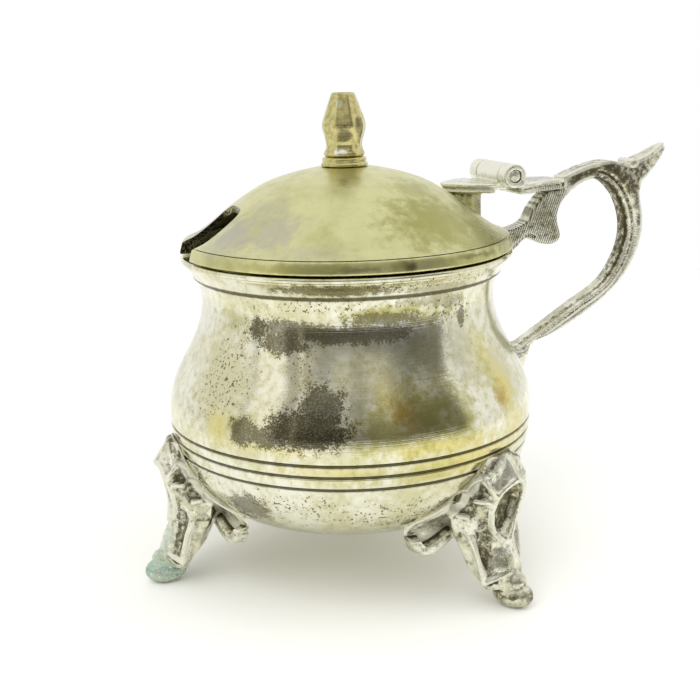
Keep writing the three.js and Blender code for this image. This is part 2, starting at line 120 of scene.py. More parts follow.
# The handle's edge in its own upright plane, in the order that the casting runs
handle_tail = [(28.2, 30.2), (32.1, 30.2), (32.5, 32.4), (33.1, 34.6)]
handle_back = [
    (34.1, 35.4), (39.0, 37.3), (45.0, 40.7), (50.1, 44.7), (53.3, 49.3), (54.75, 54.8), (54.0, 60.6),
]
spur_back = [(54.4, 62.5), (56.3, 64.2), (58.2, 66.1), (59.7, 68.0)]
spur_top = [(59.2, 69.1), (57.8, 68.5), (55.9, 67.4), (53.8, 66.6), (52.4, 65.7)]
handle_top = [(51.2, 65.8), (47.7, 66.5), (43.5, 65.8), (38.95, 64.2)]
handle_step = [(38.95, 61.9), (36.4, 61.9)]
bracket_left = [(35.2, 61.1), (33.4, 58.9), (32.3, 56.9), (30.0, 55.8), (26.0, 55.4)]
bracket_foot = [(24.0, 55.4), (24.0, 50.6), (27.2, 50.6)]
bracket_right = [
    (28.8, 51.4), (30.6, 52.8), (32.3, 54.0), (33.7, 53.4), (35.5, 52.7), (37.5, 52.8), (38.6, 54.0),
    (37.9, 57.0), (38.6, 59.6), (40.4, 61.6),
]
handle_inside = [
    (42.0, 62.7), (44.4, 63.5), (46.9, 63.0), (49.3, 60.9), (51.0, 57.6), (51.6, 54.0), (50.6, 49.8),
    (47.4, 45.1), (41.2, 41.35), (35.0, 37.55), (31.2, 35.25),
]
HANDLE_HALF_WIDTH = 2.3
# A curl scratched in the flanks of the bracket
bracket_curl = [(29.6, 52.6), (31.2, 53.6), (32.4, 54.6), (33.6, 54.1)]

# The hinge's two leaves, as distance from the bowl's axis and half width
lid_leaf = [(25.1, 7.0), (23.0, 6.4), (20.6, 4.9), (18.6, 3.0), (17.3, 1.3), (16.9, 0)]
pot_leaf = [(28.0, 7.2), (29.6, 7.2), (31.5, 5.8), (34.5, 4.3), (37.0, 3.4), (38.7, 2.9)]
LEAF_STEP = 0.4
LID_LEAF_TOP = 64.1
POT_LEAF_TOP = 63.9
KNUCKLE_RADIUS = 1.95
PIN_RADIUS = 1.05
PIN_PLAY = 0.05
# Half the length of the whole hinge and of its middle knuckle
HINGE_HALF = 7.25
MIDDLE_HALF = 4.25

# One foot laid out along +X: its leaf's outer face as radius and height, and the leaf from the front
FOOT_ANGLES = {"foot_front": 180, "foot_left": 58.5, "foot_right": -58.5}
leaf_face = [
    (24.9, 9.2), (24.8, 10.6), (24.8, 12.0), (25.1, 13.4), (26.2, 15.0), (28.2, 16.8), (30.2, 19.6),
    (31.3, 22.4), (31.5, 25.2),
]
leaf_outline = [
    (0, 24.9), (3.2, 23.9), (6.2, 21.9), (9.2, 19.5), (11.5, 17.2), (12.6, 15.0), (12.7, 12.6),
    (12.1, 11.0), (10.4, 9.5), (7.8, 9.9), (5.2, 11.3), (3.4, 13.2), (0, 14.5),
]
# Half cross-sections of the leg: a height, then distance out and half width of five corners
leg_sections = [
    (25.3, [(31.2, 0), (30.9, 1.2), (30.1, 2.4), (28.4, 2.6), (27.5, 1.5)]),
    (23.2, [(32.4, 0), (31.7, 2.6), (30.7, 4.7), (28.4, 5.0), (27.0, 3.0)]),
    (21.2, [(33.5, 0), (32.5, 2.6), (31.1, 5.0), (28.0, 5.9), (26.0, 3.5)]),
    (19.3, [(33.2, 0), (32.7, 3.5), (30.5, 5.7), (27.0, 6.6), (25.0, 3.5)]),
    (16.9, [(32.3, 0), (32.0, 4.2), (29.8, 6.2), (26.0, 7.0), (24.6, 3.5)]),
    (12.9, [(31.7, 0), (31.4, 2.8), (29.1, 6.2), (26.3, 6.6), (24.4, 3.0)]),
    (10.2, [(32.2, 0), (31.9, 1.1), (30.0, 5.7), (27.5, 6.0), (25.3, 2.6)]),
    (7.2, [(33.4, 0), (33.1, 1.4), (30.7, 5.3), (28.4, 5.4), (26.8, 2.4)]),
    (5.2, [(34.0, 0), (33.5, 1.8), (31.0, 5.0), (29.8, 4.6), (28.6, 2.2)]),
    (3.2, [(33.5, 0), (32.8, 1.8), (31.0, 3.6), (30.2, 3.2), (29.6, 1.6)]),
]
almond = [
    (0, 20.9), (1.9, 20.2), (3.2, 19.0), (3.9, 17.4), (3.9, 15.6), (3.1, 13.8), (1.8, 12.2), (0, 10.8),
]
top_cell = [(0.7, 23.6), (2.6, 23.2), (4.0, 22.1), (4.4, 21.0), (3.4, 20.1), (1.6, 21.0), (0.7, 21.8)]
# The line down the middle of the leg's front, as height and distance out
leg_crest = [(10.2, 32.1), (12.9, 31.8), (16.9, 32.2), (19.3, 33.0), (21.2, 33.5)]
# The radius that rounds the leg's corners, and the height at which it ends in the leaf
LEG_ROUNDING = 0.25
LEG_TOP = 24.9
TOE = (33.2, 0, 2.05)
# Bars that cut the foot: two scoops, the channel down its side and the nick over the toe
foot_scoops = [
    ([(31.6, 6.5, 20.9), (31.2, 6.5, 20.1)], 1.7),
    ([(29.6, 8.1, 18.6), (29.2, 7.9, 17.6)], 2.05),
    ([(32.5, 6.0, 15.2), (32.2, 5.5, 12.6), (32.3, 5.3, 9.2), (33.0, 5.0, 7.0)], (1.7, 2.2, 2.1, 1.6)),
    ([(32.0, 4.3, 4.9), (33.2, 3.4, 5.1)], 0.7),
]
# Bars that stand out: spine, arch over the almond, its frame, arcs over the scoops, back ridge, skirt
foot_ridges = [
    ([(31.5, 0, 24.4), (32.6, 0, 23.0), (33.6, 0, 21.2)], (0.3, 0.42, 0.6)),
    ([(33.6, 0, 21.2), (33.0, 2.2, 20.2), (32.6, 3.7, 19.3)], (0.55, 0.42, 0.45)),
    (
        [(32.6, 3.7, 19.3), (32.0, 4.3, 16.9), (31.5, 3.6, 14.4), (31.4, 2.7, 12.7), (32.0, 0.9, 10.6)],
        0.5,
    ),
    ([(32.6, 3.7, 19.3), (31.9, 4.8, 20.8), (30.7, 4.9, 22.0), (29.4, 5.4, 21.8)], (0.4, 0.4, 0.4, 0.3)),
    ([(31.9, 4.3, 18.2), (31.4, 5.4, 18.6), (30.4, 6.6, 18.9)], (0.34, 0.4, 0.34)),
    (
        [(31.3, 4.9, 17.4), (30.4, 5.4, 16.6), (29.3, 6.1, 15.7), (27.8, 7.7, 16.3)],
        (0.4, 0.45, 0.45, 0.35),
    ),
    ([(28.6, 6.1, 14.0), (29.2, 6.1, 12.6), (30.1, 5.8, 10.2), (30.8, 5.3, 7.2), (31.0, 5.0, 5.4)], 0.5),
    ([(33.5, 1.0, 6.2), (32.4, 3.4, 5.5), (31.1, 5.0, 5.0), (29.9, 4.5, 5.7)], (0.3, 0.4, 0.5, 0.4)),
]
RIDGE = 0.42
FOOT_UNEVENNESS = 0.12
# The gap that stands for a soldered seam
SEAM = 0.12

# The finishes, each named for its metal and how it was worked
SILVER = "silver_plate_burnished_tarnished"
GILT = "gilt_plate_satin_worn"
BRASS = "brass_turned_worn_gilt"
CAST = "silver_plate_cast_tarnished"
CAST_GREEN = "silver_plate_cast_verdigris"
# Stains: radius, angle round the pot in degrees, height, half width, half height and strength
silver_films = {
    "cream": [
        (28.0, -152, 38.0, 12.0, 16.0, 1.0), (27.0, -64, 42.0, 8.0, 12.0, 1.0),
        (25.0, 150, 42.0, 14.0, 9.0, 0.8), (29.0, 60, 36.0, 16.0, 8.0, 0.8),
        (29.5, -48, 36.0, 8.0, 10.0, 0.6),
    ],
    "mauve": [
        (25.6, -84, 42.6, 8.0, 6.6, 0.7), (25.4, -96, 43.6, 5.0, 3.6, 0.7),
        (27.0, -68, 42.0, 6.0, 9.0, 0.5), (28.5, 90, 36.0, 9.0, 6.0, 0.7),
        (26.0, -28, 41.0, 5.0, 7.0, 0.5), (28.8, -106, 35.0, 6.0, 5.0, 0.6),
    ],
    "yellow": [
        (30.3, -84, 28.9, 17.0, 2.4, 1.0), (30.4, -74, 25.6, 22.0, 4.0, 0.8),
        (30.4, -112, 25.8, 14.0, 2.8, 0.5), (29.4, -52, 34.4, 4.6, 7.0, 1.0),
        (27.6, -55, 39.0, 4.0, 8.0, 0.6), (30.3, -49, 28.0, 7.0, 5.0, 0.5),
        (30.2, -149, 31.3, 4.6, 4.2, 0.9), (29.8, -93, 35.6, 6.4, 6.4, 0.7),
        (30.2, 62, 29.0, 20.0, 3.0, 0.9), (29.5, 110, 34.0, 7.0, 7.0, 0.7),
        (29.8, 15, 31.0, 9.0, 5.0, 0.8), (30.3, -129, 29.0, 12.0, 1.6, 0.5),
    ],
    "olive": [
        (29.6, -84, 33.6, 10.0, 8.6, 0.95), (29.9, -98, 32.0, 10.0, 6.0, 0.8),
        (30.0, -73, 32.4, 4.4, 6.4, 0.8), (24.4, -93, 48.2, 12.0, 2.6, 1.0),
        (24.7, -78, 47.2, 8.0, 2.8, 0.7), (26.6, -113, 51.9, 14.0, 1.9, 0.8),
        (28.2, -57, 37.6, 3.0, 6.0, 0.4), (25.6, -80, 41.5, 6.0, 7.6, 0.4),
        (28.9, 128, 36.0, 9.0, 5.0, 0.8), (30.6, -88, 25.2, 18.0, 2.4, 0.45),
        (24.5, 60, 46.5, 14.0, 2.2, 0.8), (29.6, 20, 34.0, 9.0, 5.0, 0.8),
        (29.0, 165, 22.0, 9.0, 3.0, 0.6), (24.6, -150, 46.4, 6.0, 3.4, 0.5),
        (30.0, -143, 31.4, 3.0, 3.0, 0.9),
    ],
    "amber": [
        (29.6, -92, 34.4, 3.4, 3.4, 0.9), (29.8, -55, 33.4, 2.6, 3.4, 0.8),
        (29.9, -89, 32.0, 4.4, 2.4, 0.4), (29.6, 104, 33.0, 4.0, 3.0, 0.7),
    ],
}
silver_patches = [
    (24.3, -129, 45.8, 9.0, 2.0, 0.8), (24.3, -113, 45.2, 9.0, 1.8, 0.75),
    (24.3, -99, 45.3, 8.0, 2.0, 0.75), (24.4, -141, 45.5, 2.4, 2.2, 1.0),
    (24.8, -131, 43.8, 6.0, 2.0, 0.9), (29.8, -120, 32.2, 9.0, 4.2, 1.0),
    (29.4, -116, 35.4, 5.0, 4.4, 0.9), (29.9, -132, 30.8, 5.6, 2.4, 0.9),
    (30.3, -140, 31.0, 3.2, 2.8, 0.9), (26.6, -112, 52.2, 13.0, 1.2, 0.8),
    (24.4, -95, 47.4, 8.0, 1.5, 0.8), (24.5, -82, 46.6, 7.0, 1.2, 0.5),
    (24.5, -62.5, 46.4, 1.2, 2.6, 0.8), (24.8, -70, 48.9, 5.0, 1.2, 0.5),
    (24.6, -76, 49.6, 8.0, 0.9, 0.4), (27.6, -72, 17.4, 5.0, 3.4, 0.8), (27.6, -141, 18.4, 5.0, 3.4, 0.8),
    (29.6, 82, 31.6, 8.0, 3.4, 0.8), (24.3, 40, 45.6, 12.0, 1.8, 0.9), (24.3, 100, 45.2, 14.0, 1.6, 0.9),
    (26.6, -75, 51.6, 7.0, 0.9, 0.4),
]
silver_pits = [
    (28.0, -152, 38.0, 11.0, 15.0, 1.0), (25.0, -140, 44.6, 11.0, 7.0, 1.0),
    (28.6, -125, 19.5, 20.0, 6.0, 0.9), (28.4, -90, 18.0, 24.0, 6.0, 1.0),
    (24.8, -112, 49.4, 26.0, 2.4, 1.0), (25.8, -122, 41.0, 6.0, 8.0, 0.9),
    (24.8, -68, 47.5, 11.0, 4.4, 1.0), (29.0, 60, 30.0, 30.0, 12.0, 0.7),
    (26.6, -80, 52.4, 24.0, 2.2, 1.0), (29.6, -117, 33.4, 10.0, 6.0, 0.9),
    (28.0, -160, 22.0, 9.0, 5.0, 0.8),
]
# Round the front of the edge band, at heights 55.2 to 55.7, the olive, brown and dull stains are film on
# the gilding and a painted reflection of the dim room in front
gilt_places = {
    # The dull and olive stains on the dome's right, from -50 to -66 degrees, are a painted reflection of a
    # dark thing in the room
    "gilt_dull": [
        (20.0, -66, 60.5, 14.0, 8.0, 1.0), (26.0, -50, 57.0, 9.0, 4.0, 0.8),
        (14.0, -60, 64.5, 7.0, 3.0, 0.6), (20.0, 100, 60.0, 16.0, 8.0, 0.9),
        (22.0, 30, 60.0, 9.0, 5.0, 0.7), (27.0, -112, 55.6, 14.0, 1.4, 0.6),
    ],
    "olive": [
        (22.0, -62, 59.8, 13.0, 7.0, 0.75), (27.0, -90, 55.4, 4.0, 1.6, 0.9),
        (27.0, -130, 55.4, 16.0, 1.4, 0.7), (27.0, -66, 55.4, 14.0, 1.6, 0.7),
        (22.0, 120, 58.0, 10.0, 5.0, 0.6),
    ],
    "worn": [
        (23.0, -158, 58.8, 9.0, 5.0, 0.9), (21.6, -138, 60.0, 7.0, 5.0, 0.75),
        (18.0, -150, 62.5, 6.0, 3.0, 0.5), (23.5, 165, 58.4, 7.0, 5.0, 0.8),
        (25.0, -120, 57.4, 9.0, 1.6, 0.4),
    ],
    "brown": [
        (27.1, -88, 55.3, 1.6, 1.2, 0.8), (27.1, -104, 55.2, 5.0, 0.7, 0.5),
        (26.9, -60, 55.7, 9.0, 0.7, 0.6),
    ],
}
green_places = [(34.0, 180, 2.6, 5.0, 4.2, 1.0), (33.6, 180, 7.4, 4.0, 4.6, 0.6)]
# For the finial, a colour and how ragged its stains are come first
brass_places = [
    ("brown", 0.8, [(3.0, -107, 73.0, 1.6, 2.2, 0.75), (3.0, -60, 74.0, 1.4, 2.4, 0.6)]),
    # The silver spots are painted highlights, on the bell and high on the bud
    ("silver", 0.4, [(3.3, -118, 70.1, 1.4, 0.9, 1.0), (2.4, -122, 77.6, 0.7, 0.9, 0.5)]),
]

# What the metal mirrors: from and to in degrees beside the camera, then radius, foot and top in metres,
# and the light at its foot and at its top
room_panels = {
    "dim_room": (-33, 28, 0.50, 0.0, 0.60, 0.23, 0.62),
    "dark_corner": (27, 73, 0.51, 0.0, 0.60, 0.24, 0.42),
    "tent_door": (-47, -33, 0.50, 0.0, 0.60, 0.52, 0.68),
    "bright_strip": (-69, -48, 0.48, 0.01, 0.55, 1.1, 1.1),
    "lit_seam": (-35.5, -34, 0.45, 0.01, 0.5, 1.3, 1.3),
    "dark_seam": (-71.5, -70, 0.47, 0.0, 0.5, 0.25, 0.45),
}
PANEL_STEPS = 12
# The white floor goes over into white light between these two distances, in metres
FLOOR_FADE = (0.11, 0.3)
LAMPS_AIM = (0, 0, 0.035)
CAMERA_AZIMUTH = -107.5
CAMERA_PITCH, CAMERA_ROLL, CAMERA_YAW = 14.319, -1.328, -0.061
CAMERA_LENS = 57.087

# Nodes that the trees below use again and again
MATH = "ShaderNodeMath"
VECTOR = "ShaderNodeVectorMath"
WHOLE = "FunctionNodeIntegerMath"
RAMP = {"kind": "ShaderNodeMapRange", "interpolation_type": "SMOOTHSTEP"}
LAYER = {"kind": "ShaderNodeMix", "data_type": "RGBA"}
TIMES = {"kind": MATH, "operation": "MULTIPLY", "use_clamp": True}
PLUS = {"kind": MATH, "operation": "ADD", "use_clamp": True}
MOST = {"kind": MATH, "operation": "MAXIMUM", "use_clamp": True}
# The first value times the second, plus the third
WEIGHED = {"kind": MATH, "operation": "MULTIPLY_ADD"}
CARRIED = {"kind": "ShaderNodeAttribute", "out": "Fac"}
PLACED = {"kind": "ShaderNodeMapping", "vector_type": "TEXTURE"}
SPOT = {"kind": "ShaderNodeTexGradient", "gradient_type": "SPHERICAL", "out": "Fac"}


def smooth(knots, steps):
    """A round line through a few knots, with a number of steps between two of them."""
    points = np.array([knots[0], *knots, knots[-1]], float)
    share = np.linspace(0, 1, steps, endpoint=False)[:, None]
    line = []
    for a, b, c, d in zip(points, points[1:], points[2:], points[3:]):
        curve = 2 * b + (c - a) * share + (2 * a - 5 * b + 4 * c - d) * share**2
        line.extend((curve + (3 * b - a - 3 * c + d) * share**3) / 2)
    return np.array([*line, points[-1]])


def faired(line, passes):
    """A line evened out, so that light runs along it without a kink. Its two ends stay."""
    line = line.copy()
    for _ in range(passes):
        line[1:-1] = (line[:-2] + 2 * line[1:-1] + line[2:]) / 4
    return line


def moved_in(line, distance):
    """A line moved sideways, to the left of its direction of travel."""
    along = np.gradient(line, axis=0)
    along /= np.linalg.norm(along, axis=1)[:, None]
    return line + distance * np.stack([-along[:, 1], along[:, 0]], axis=1)


def linear(code):
    """An sRGB hex colour as the linear red, green and blue that a shader reads."""
    parts = [int(code[k : k + 2], 16) / 255 for k in (0, 2, 4)]
    return tuple(c / 12.92 if c <= 0.04045 else ((c + 0.055) / 1.055) ** 2.4 for c in parts)


def length(name, description, millimetres):
    """A size that a user may change, kept in metres."""
    return FloatProperty(name=name, description=description, default=millimetres * MM, unit="LENGTH")


def colour(name, description, code):
    """A finish's colour that a user may change, given as sRGB hex."""
    return FloatVectorProperty(
        name=name, description=description, default=linear(code), size=3, min=0, max=1, subtype="COLOR"
    )


class BowlSizes(bpy.types.PropertyGroup):
    wall: length("Wall", "Thickness of the raised sheet", 1.1)
    groove_width: length("Groove width", "Width of each turned groove", 0.66)
    groove_depth: length("Groove depth", "Depth of each turned groove", 0.26)
    sides: IntProperty(name="Sides", description="Steps round each turned piece", default=288, min=24)
    dent: length("Dents", "How far the hand-worked sheet strays from a true round", 0.06)
    dent_size: length("Dent size", "Distance from one dent to the next", 9)


class LidSizes(bpy.types.PropertyGroup):
    sheet: length("Sheet", "Thickness of the domed sheet", 0.9)
    notch_half: length("Notch half width", "Half the width of the spoon notch", 4.3)
    notch_corner: length("Notch corner", "Radius of the notch's inner corners", 1.6)
    dent: length("Dents", "How far the dome strays from a true round", 0.06)
    flats: IntProperty(name="Bud flats", description="Flats filed round the bud", default=9, min=0)
    flat_depth: FloatProperty(name="Flat depth", description="Depth over the radius", default=0.022)


class CastingSizes(bpy.types.PropertyGroup):
    foot_step: length("Foot detail", "Spacing of the points on a foot's skin", 0.22)
    handle_step: length("Handle detail", "Spacing of the points on the handle's skin", 0.24)
    hinge_step: length("Hinge detail", "Spacing of the points on the hinge's skin", 0.17)
    ridge: length("Ridge", "Radius of the raised lines on a foot", RIDGE)
    grain: length("Grain", "Roughness that the sand left on a casting", 0.035)


class Finishes(bpy.types.PropertyGroup):
    silver: colour("Silver plate", "Clean burnished plate", "E8E7D6")
    cream: colour("Creamy plate", "Plate under the first thin tarnish", "CFCBA6")
    yellow: colour("Yellow tarnish", "Plate under a straw-coloured film", "D8CC84")
    amber: colour("Amber tarnish", "Plate under a film just turning brown", "B39A58")
    olive: colour("Olive tarnish", "Plate under a thicker film", "ADA96A")
    mauve: colour("Grey tarnish", "Plate under the thickest clear film", "B5B5A8")
    brown: colour("Brown tarnish", "Heavy tarnish in the neck and patches", "66604A")
    black: colour("Black tarnish", "Tarnish packed in grooves and recesses", "444026")
    gilt: colour("Gilt", "Clean worn gilding", "DBD9A4")
    gilt_dull: colour("Dull gilt", "Gilding under film", "A3A062")
    worn: colour("Worn gilt", "Silvery place where the gilding is rubbed off", "B8B5A2")
    brass: colour("Finial", "Yellow metal of the finial", "CFC48A")
    verdigris: colour("Verdigris", "Green copper salts on the front toe", "86AB9C")


class StageSettings(bpy.types.PropertyGroup):
    camera_distance: length("Camera distance", "Level distance from the bowl's axis", 182.55)
    camera_height: length("Camera height", "Height of the lens above the table", 83.38)
    floor_radius: length("Floor radius", "How far the pale floor reaches", 1600)
    sky: FloatProperty(name="Room light", description="Even light from all round", default=1.0)
    key: FloatProperty(name="Main lamp", description="Soft lamp above and left", default=1.6, unit="POWER")


def size(group, name):
    """A length of one of the scene's property groups, in millimetres."""
    return getattr(getattr(bpy.context.scene, group), name) / MM


def paint(name):
    """A finish's colour with full opacity."""
    return (*getattr(bpy.context.scene.pot_finishes, name), 1)


def add_node(tree, kind, inputs=(), out=None, **settings):
    """Adds a node with its settings, fills or links its inputs in order or by name, and returns the
    output that is asked for, or else its first live one."""
    made = tree.nodes.new(kind)
    for key, value in settings.items():
        setattr(made, key, value)
    for key, value in inputs.items() if isinstance(inputs, dict) else enumerate(inputs):
        live = [s for s in made.inputs if s.enabled]
        socket = live[key] if isinstance(key, int) else next(s for s in live if s.name == key)
        if isinstance(value, bpy.types.NodeSocket):
            tree.links.new(value, socket)
        else:
            socket.default_value = value
    if out:
        return made.outputs[out]
    return next((s for s in made.outputs if s.enabled), None)


def fill_inputs(modifier, values):
    """Sets a Geometry Nodes modifier's inputs, which are kept under identifiers, by their names."""
    for item in modifier.node_group.interface.items_tree:
        if item.item_type == "SOCKET" and item.in_out == "INPUT" and item.name in values:
            modifier[item.identifier] = values[item.name]


def new_tree(name, inputs):
    """An empty Geometry Nodes tree with its named inputs, and the sockets that give them."""
    tree = bpy.data.node_groups.new(name, "GeometryNodeTree")
    for way in ("OUTPUT", "INPUT"):
        tree.interface.new_socket("Geometry", in_out=way, socket_type="NodeSocketGeometry")
    for label, kind in inputs.items():
        tree.interface.new_socket(label, in_out="INPUT", socket_type="NodeSocket" + kind)
    return tree, tree.nodes.new("NodeGroupInput").outputs


def end_tree(tree, geometry, material):
    """Realizes what the tree made, gives it its material and sends it out."""
    real = add_node(tree, "GeometryNodeRealizeInstances", [geometry])
    painted = add_node(tree, "GeometryNodeSetMaterial", {"Geometry": real, "Material": material})
    add_node(tree, "NodeGroupOutput", [painted])


def turning_tree():
    """A closed profile turned about the pot's axis. The profile comes in as a row of points with the
    radius along X, and each carries how deep it lies in a groove."""
    tree, given = new_tree("turned_on_a_lathe", {
        "Axis X": "Float", "Sides": "Int", "Flats": "Int", "Flat depth": "Float", "Flats from": "Float",
        "Dents": "Float", "Dent size": "Float", "Seed": "Float", "Material": "Material",
    })
    profile = given["Geometry"]
    rings = add_node(tree, "GeometryNodeAttributeDomainSize", [profile], component="MESH")
    across = add_node(tree, WHOLE, [given["Sides"], 1], operation="ADD")
    sheet = add_node(tree, "GeometryNodeMeshGrid", {"Vertices X": across, "Vertices Y": rings})
    index = add_node(tree, "GeometryNodeInputIndex")
    ring = add_node(tree, WHOLE, [index, rings], operation="MODULO")
    side = add_node(tree, WHOLE, [index, rings], operation="DIVIDE")
    place = add_node(tree, "GeometryNodeInputPosition")
    depth = add_node(tree, "GeometryNodeInputNamedAttribute", ["hollow"], data_type="FLOAT")
    found, hollow = [
        add_node(tree, "GeometryNodeSampleIndex", {"Geometry": profile, "Value": value, "Index": ring},
                 data_type=kind)
        for value, kind in ((place, "FLOAT_VECTOR"), (depth, "FLOAT"))
    ]
    reach = add_node(tree, "ShaderNodeSeparateXYZ", [found])
    height = reach.node.outputs["Z"]
    share = add_node(tree, MATH, [side, given["Sides"]], operation="DIVIDE")
    angle = add_node(tree, MATH, [share, 2 * math.pi], operation="MULTIPLY")
    cosine = add_node(tree, MATH, [angle], operation="COSINE")
    sine = add_node(tree, MATH, [angle], operation="SINE")
    outward = add_node(tree, "ShaderNodeCombineXYZ", [cosine, sine, 0.0])
    # Flats filed round the piece above a height
    waves = add_node(tree, MATH, [angle, given["Flats"]], operation="MULTIPLY")
    wave = add_node(tree, MATH, [waves], operation="SINE")
    filed = add_node(tree, MATH, [wave, given["Flat depth"]], operation="MULTIPLY")
    above = add_node(tree, MATH, [height, given["Flats from"]], operation="GREATER_THAN")
    trim = add_node(tree, MATH, [filed, above], operation="MULTIPLY")
    kept = add_node(tree, MATH, [1.0, trim], operation="SUBTRACT")
    radius = add_node(tree, MATH, [reach, kept], operation="MULTIPLY")
    flat = add_node(tree, VECTOR, {0: outward, "Scale": radius}, operation="SCALE")
    lift = add_node(tree, "ShaderNodeCombineXYZ", [0.0, 0.0, height])
    true_place = add_node(tree, VECTOR, [flat, lift], operation="ADD")
    # Slight dents, which fade out towards the middle
    fine = add_node(tree, MATH, [1.0, given["Dent size"]], operation="DIVIDE")
    noise = add_node(
        tree, "ShaderNodeTexNoise",
        {"Vector": true_place, "W": given["Seed"], "Scale": fine, "Detail": 1.0}, noise_dimensions="4D",
    )
    stray = add_node(tree, MATH, [noise, 1.0], operation="SUBTRACT")
    near = add_node(tree, MATH, [reach, DENTS_FULL_FROM * MM], operation="DIVIDE", use_clamp=True)
    held = add_node(tree, MATH, [stray, near], operation="MULTIPLY")
    dent = add_node(tree, MATH, [held, given["Dents"]], operation="MULTIPLY")
    push = add_node(tree, VECTOR, {0: outward, "Scale": dent}, operation="SCALE")
    worked = add_node(tree, VECTOR, [true_place, push], operation="ADD")
    axis = add_node(tree, "ShaderNodeCombineXYZ", [given["Axis X"], 0.0, 0.0])
    final = add_node(tree, VECTOR, [worked, axis], operation="ADD")
    marked = add_node(
        tree, "GeometryNodeStoreNamedAttribute",
        {"Geometry": sheet, "Name": "hollow", "Value": hollow}, data_type="FLOAT", domain="POINT",
    )
    turned_sheet = add_node(tree, "GeometryNodeSetPosition", {"Geometry": marked, "Position": final})
    closed = add_node(tree, "GeometryNodeMergeByDistance", {"Geometry": turned_sheet, "Distance": 2e-6})
    end_tree(tree, closed, given["Material"])
    return tree


def foot_tree():
    """One cast foot set in its place round the bowl, with a little of the founder's own unevenness."""
    tree, given = new_tree("foot_in_its_place", {
        "Axis X": "Float", "Angle": "Float", "Unevenness": "Float", "Seed": "Float", "Material": "Material",
    })
    place = add_node(tree, "GeometryNodeInputPosition")
    stray = add_node(
        tree, "ShaderNodeTexNoise", {"Vector": place, "W": given["Seed"], "Scale": 260.0, "Detail": 2.0},
        noise_dimensions="4D",
    )
    centred = add_node(tree, MATH, [stray, 1.0], operation="SUBTRACT")
    amount = add_node(tree, MATH, [centred, given["Unevenness"]], operation="MULTIPLY")
    # Sideways only, so that the sole stays flat
    normal = add_node(tree, "GeometryNodeInputNormal")
    level = add_node(tree, VECTOR, [normal, (1.0, 1.0, 0.0)], operation="MULTIPLY")
    push = add_node(tree, VECTOR, {0: level, "Scale": amount}, operation="SCALE")
    uneven = add_node(tree, "GeometryNodeSetPosition", {"Geometry": given["Geometry"], "Offset": push})
    turn = add_node(tree, "ShaderNodeCombineXYZ", [0.0, 0.0, given["Angle"]])
    shift = add_node(tree, "ShaderNodeCombineXYZ", [given["Axis X"], 0.0, 0.0])
    moved = {"Geometry": uneven, "Translation": shift, "Rotation": turn}
    end_tree(tree, add_node(tree, "GeometryNodeTransform", moved), given["Material"])
    return tree


def put_in(name, data):
    """A new object in the scene."""
    made = bpy.data.objects.new(name, data)
    bpy.context.collection.objects.link(made)
    return made


def mesh_of(name, shape):
    """The mesh that was built in a bmesh, which ends there."""
    mesh = bpy.data.meshes.new(name)
    shape.to_mesh(mesh)
    shape.free()
    return mesh


def evaluated(item, *helpers):
    """The plain mesh that an object's modifiers make of it. The object and its helpers are removed."""
    made = bpy.data.meshes.new_from_object(item.evaluated_get(bpy.context.evaluated_depsgraph_get()))
    for used in (*helpers, item):
        bpy.data.objects.remove(used)
    return made


def grown(name, mesh, tree, values):
    """The plain mesh that a tree makes of another mesh."""
    carrier = put_in(name, mesh)
    modifier = carrier.modifiers.new("Shape", "NODES")
    modifier.node_group = tree
    fill_inputs(modifier, values)
    return evaluated(carrier)


def closed_outwards(mesh, sharp_from):
    """Turns a mesh's faces outwards, shades it smooth and keeps its real corners sharp."""
    shape = bmesh.new()
    shape.from_mesh(mesh)
    bmesh.ops.recalc_face_normals(shape, faces=shape.faces)
    if shape.calc_volume(signed=True) < 0:
        bmesh.ops.reverse_faces(shape, faces=shape.faces)
    if loose := sum(edge.is_boundary or edge.is_wire for edge in shape.edges):
        print(mesh.name, "has", loose, "open edges")
    shape.to_mesh(mesh)
    shape.free()
    mesh.shade_smooth()
    mesh.set_sharp_from_angle(angle=math.radians(sharp_from))


def set_up(name, mesh, body, nodes, sharp_from=40):
    """A finished piece in the scene, riding on its body in place of its CAD nodes."""
    closed_outwards(mesh, sharp_from)
    mesh.name = name
    piece = put_in(name, mesh)
    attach(piece, body)
    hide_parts(*nodes)
    return piece


def row_of_points(name, line, hollow):
    """A profile as a row of points in metres, with the depth of each in a groove."""
    mesh = bpy.data.meshes.new(name)
    mesh.from_pydata([(r * MM, 0, z * MM) for r, z in line], [], [])
    values = np.asarray(hollow, np.float32)
    mesh.attributes.new("hollow", "FLOAT", "POINT").data.foreach_set("value", values)
    return mesh


def turned(name, line, material, hollow=None, **more):
    """A piece turned from a closed profile of radius and height."""
    line = np.asarray(line, float)
    line[:, 0] = np.maximum(line[:, 0], 0)
    if hollow is None:
        hollow = np.zeros(len(line))
    values = {
        "Axis X": AXIS_X, "Sides": bpy.context.scene.pot_bowl.sides, "Flats": 0, "Flat depth": 0.0,
        "Flats from": 0.0, "Dents": 0.0, "Dent size": 0.011, "Seed": 1.0, "Material": material, **more,
    }
    tree = bpy.data.node_groups.get("turned_on_a_lathe") or turning_tree()
    return grown(name, row_of_points(name, line, hollow), tree, values)


def outline_distance(u, v, outline, closed=True):
    """Signed distance from points to an outline, or plain distance to an open line."""
    shape = np.broadcast_shapes(u.shape, v.shape)
    nearest = np.full(shape, 1e9)
    inside = np.zeros(shape, bool)
    points = np.asarray(outline, float)
    ends = np.roll(points, -1, axis=0) if closed else points[1:]
    for (u0, v0), (u1, v1) in zip(points, ends):
        du, dv = u1 - u0, v1 - v0
        along = np.clip(((u - u0) * du + (v - v0) * dv) / (du * du + dv * dv + 1e-12), 0, 1)
        nearest = np.minimum(nearest, (u - u0 - along * du) ** 2 + (v - v0 - along * dv) ** 2)
        if closed and dv != 0:
            inside ^= ((v0 > v) != (v1 > v)) & (u < du * (v - v0) / dv + u0)
    return np.where(inside, -1, 1) * np.sqrt(nearest)


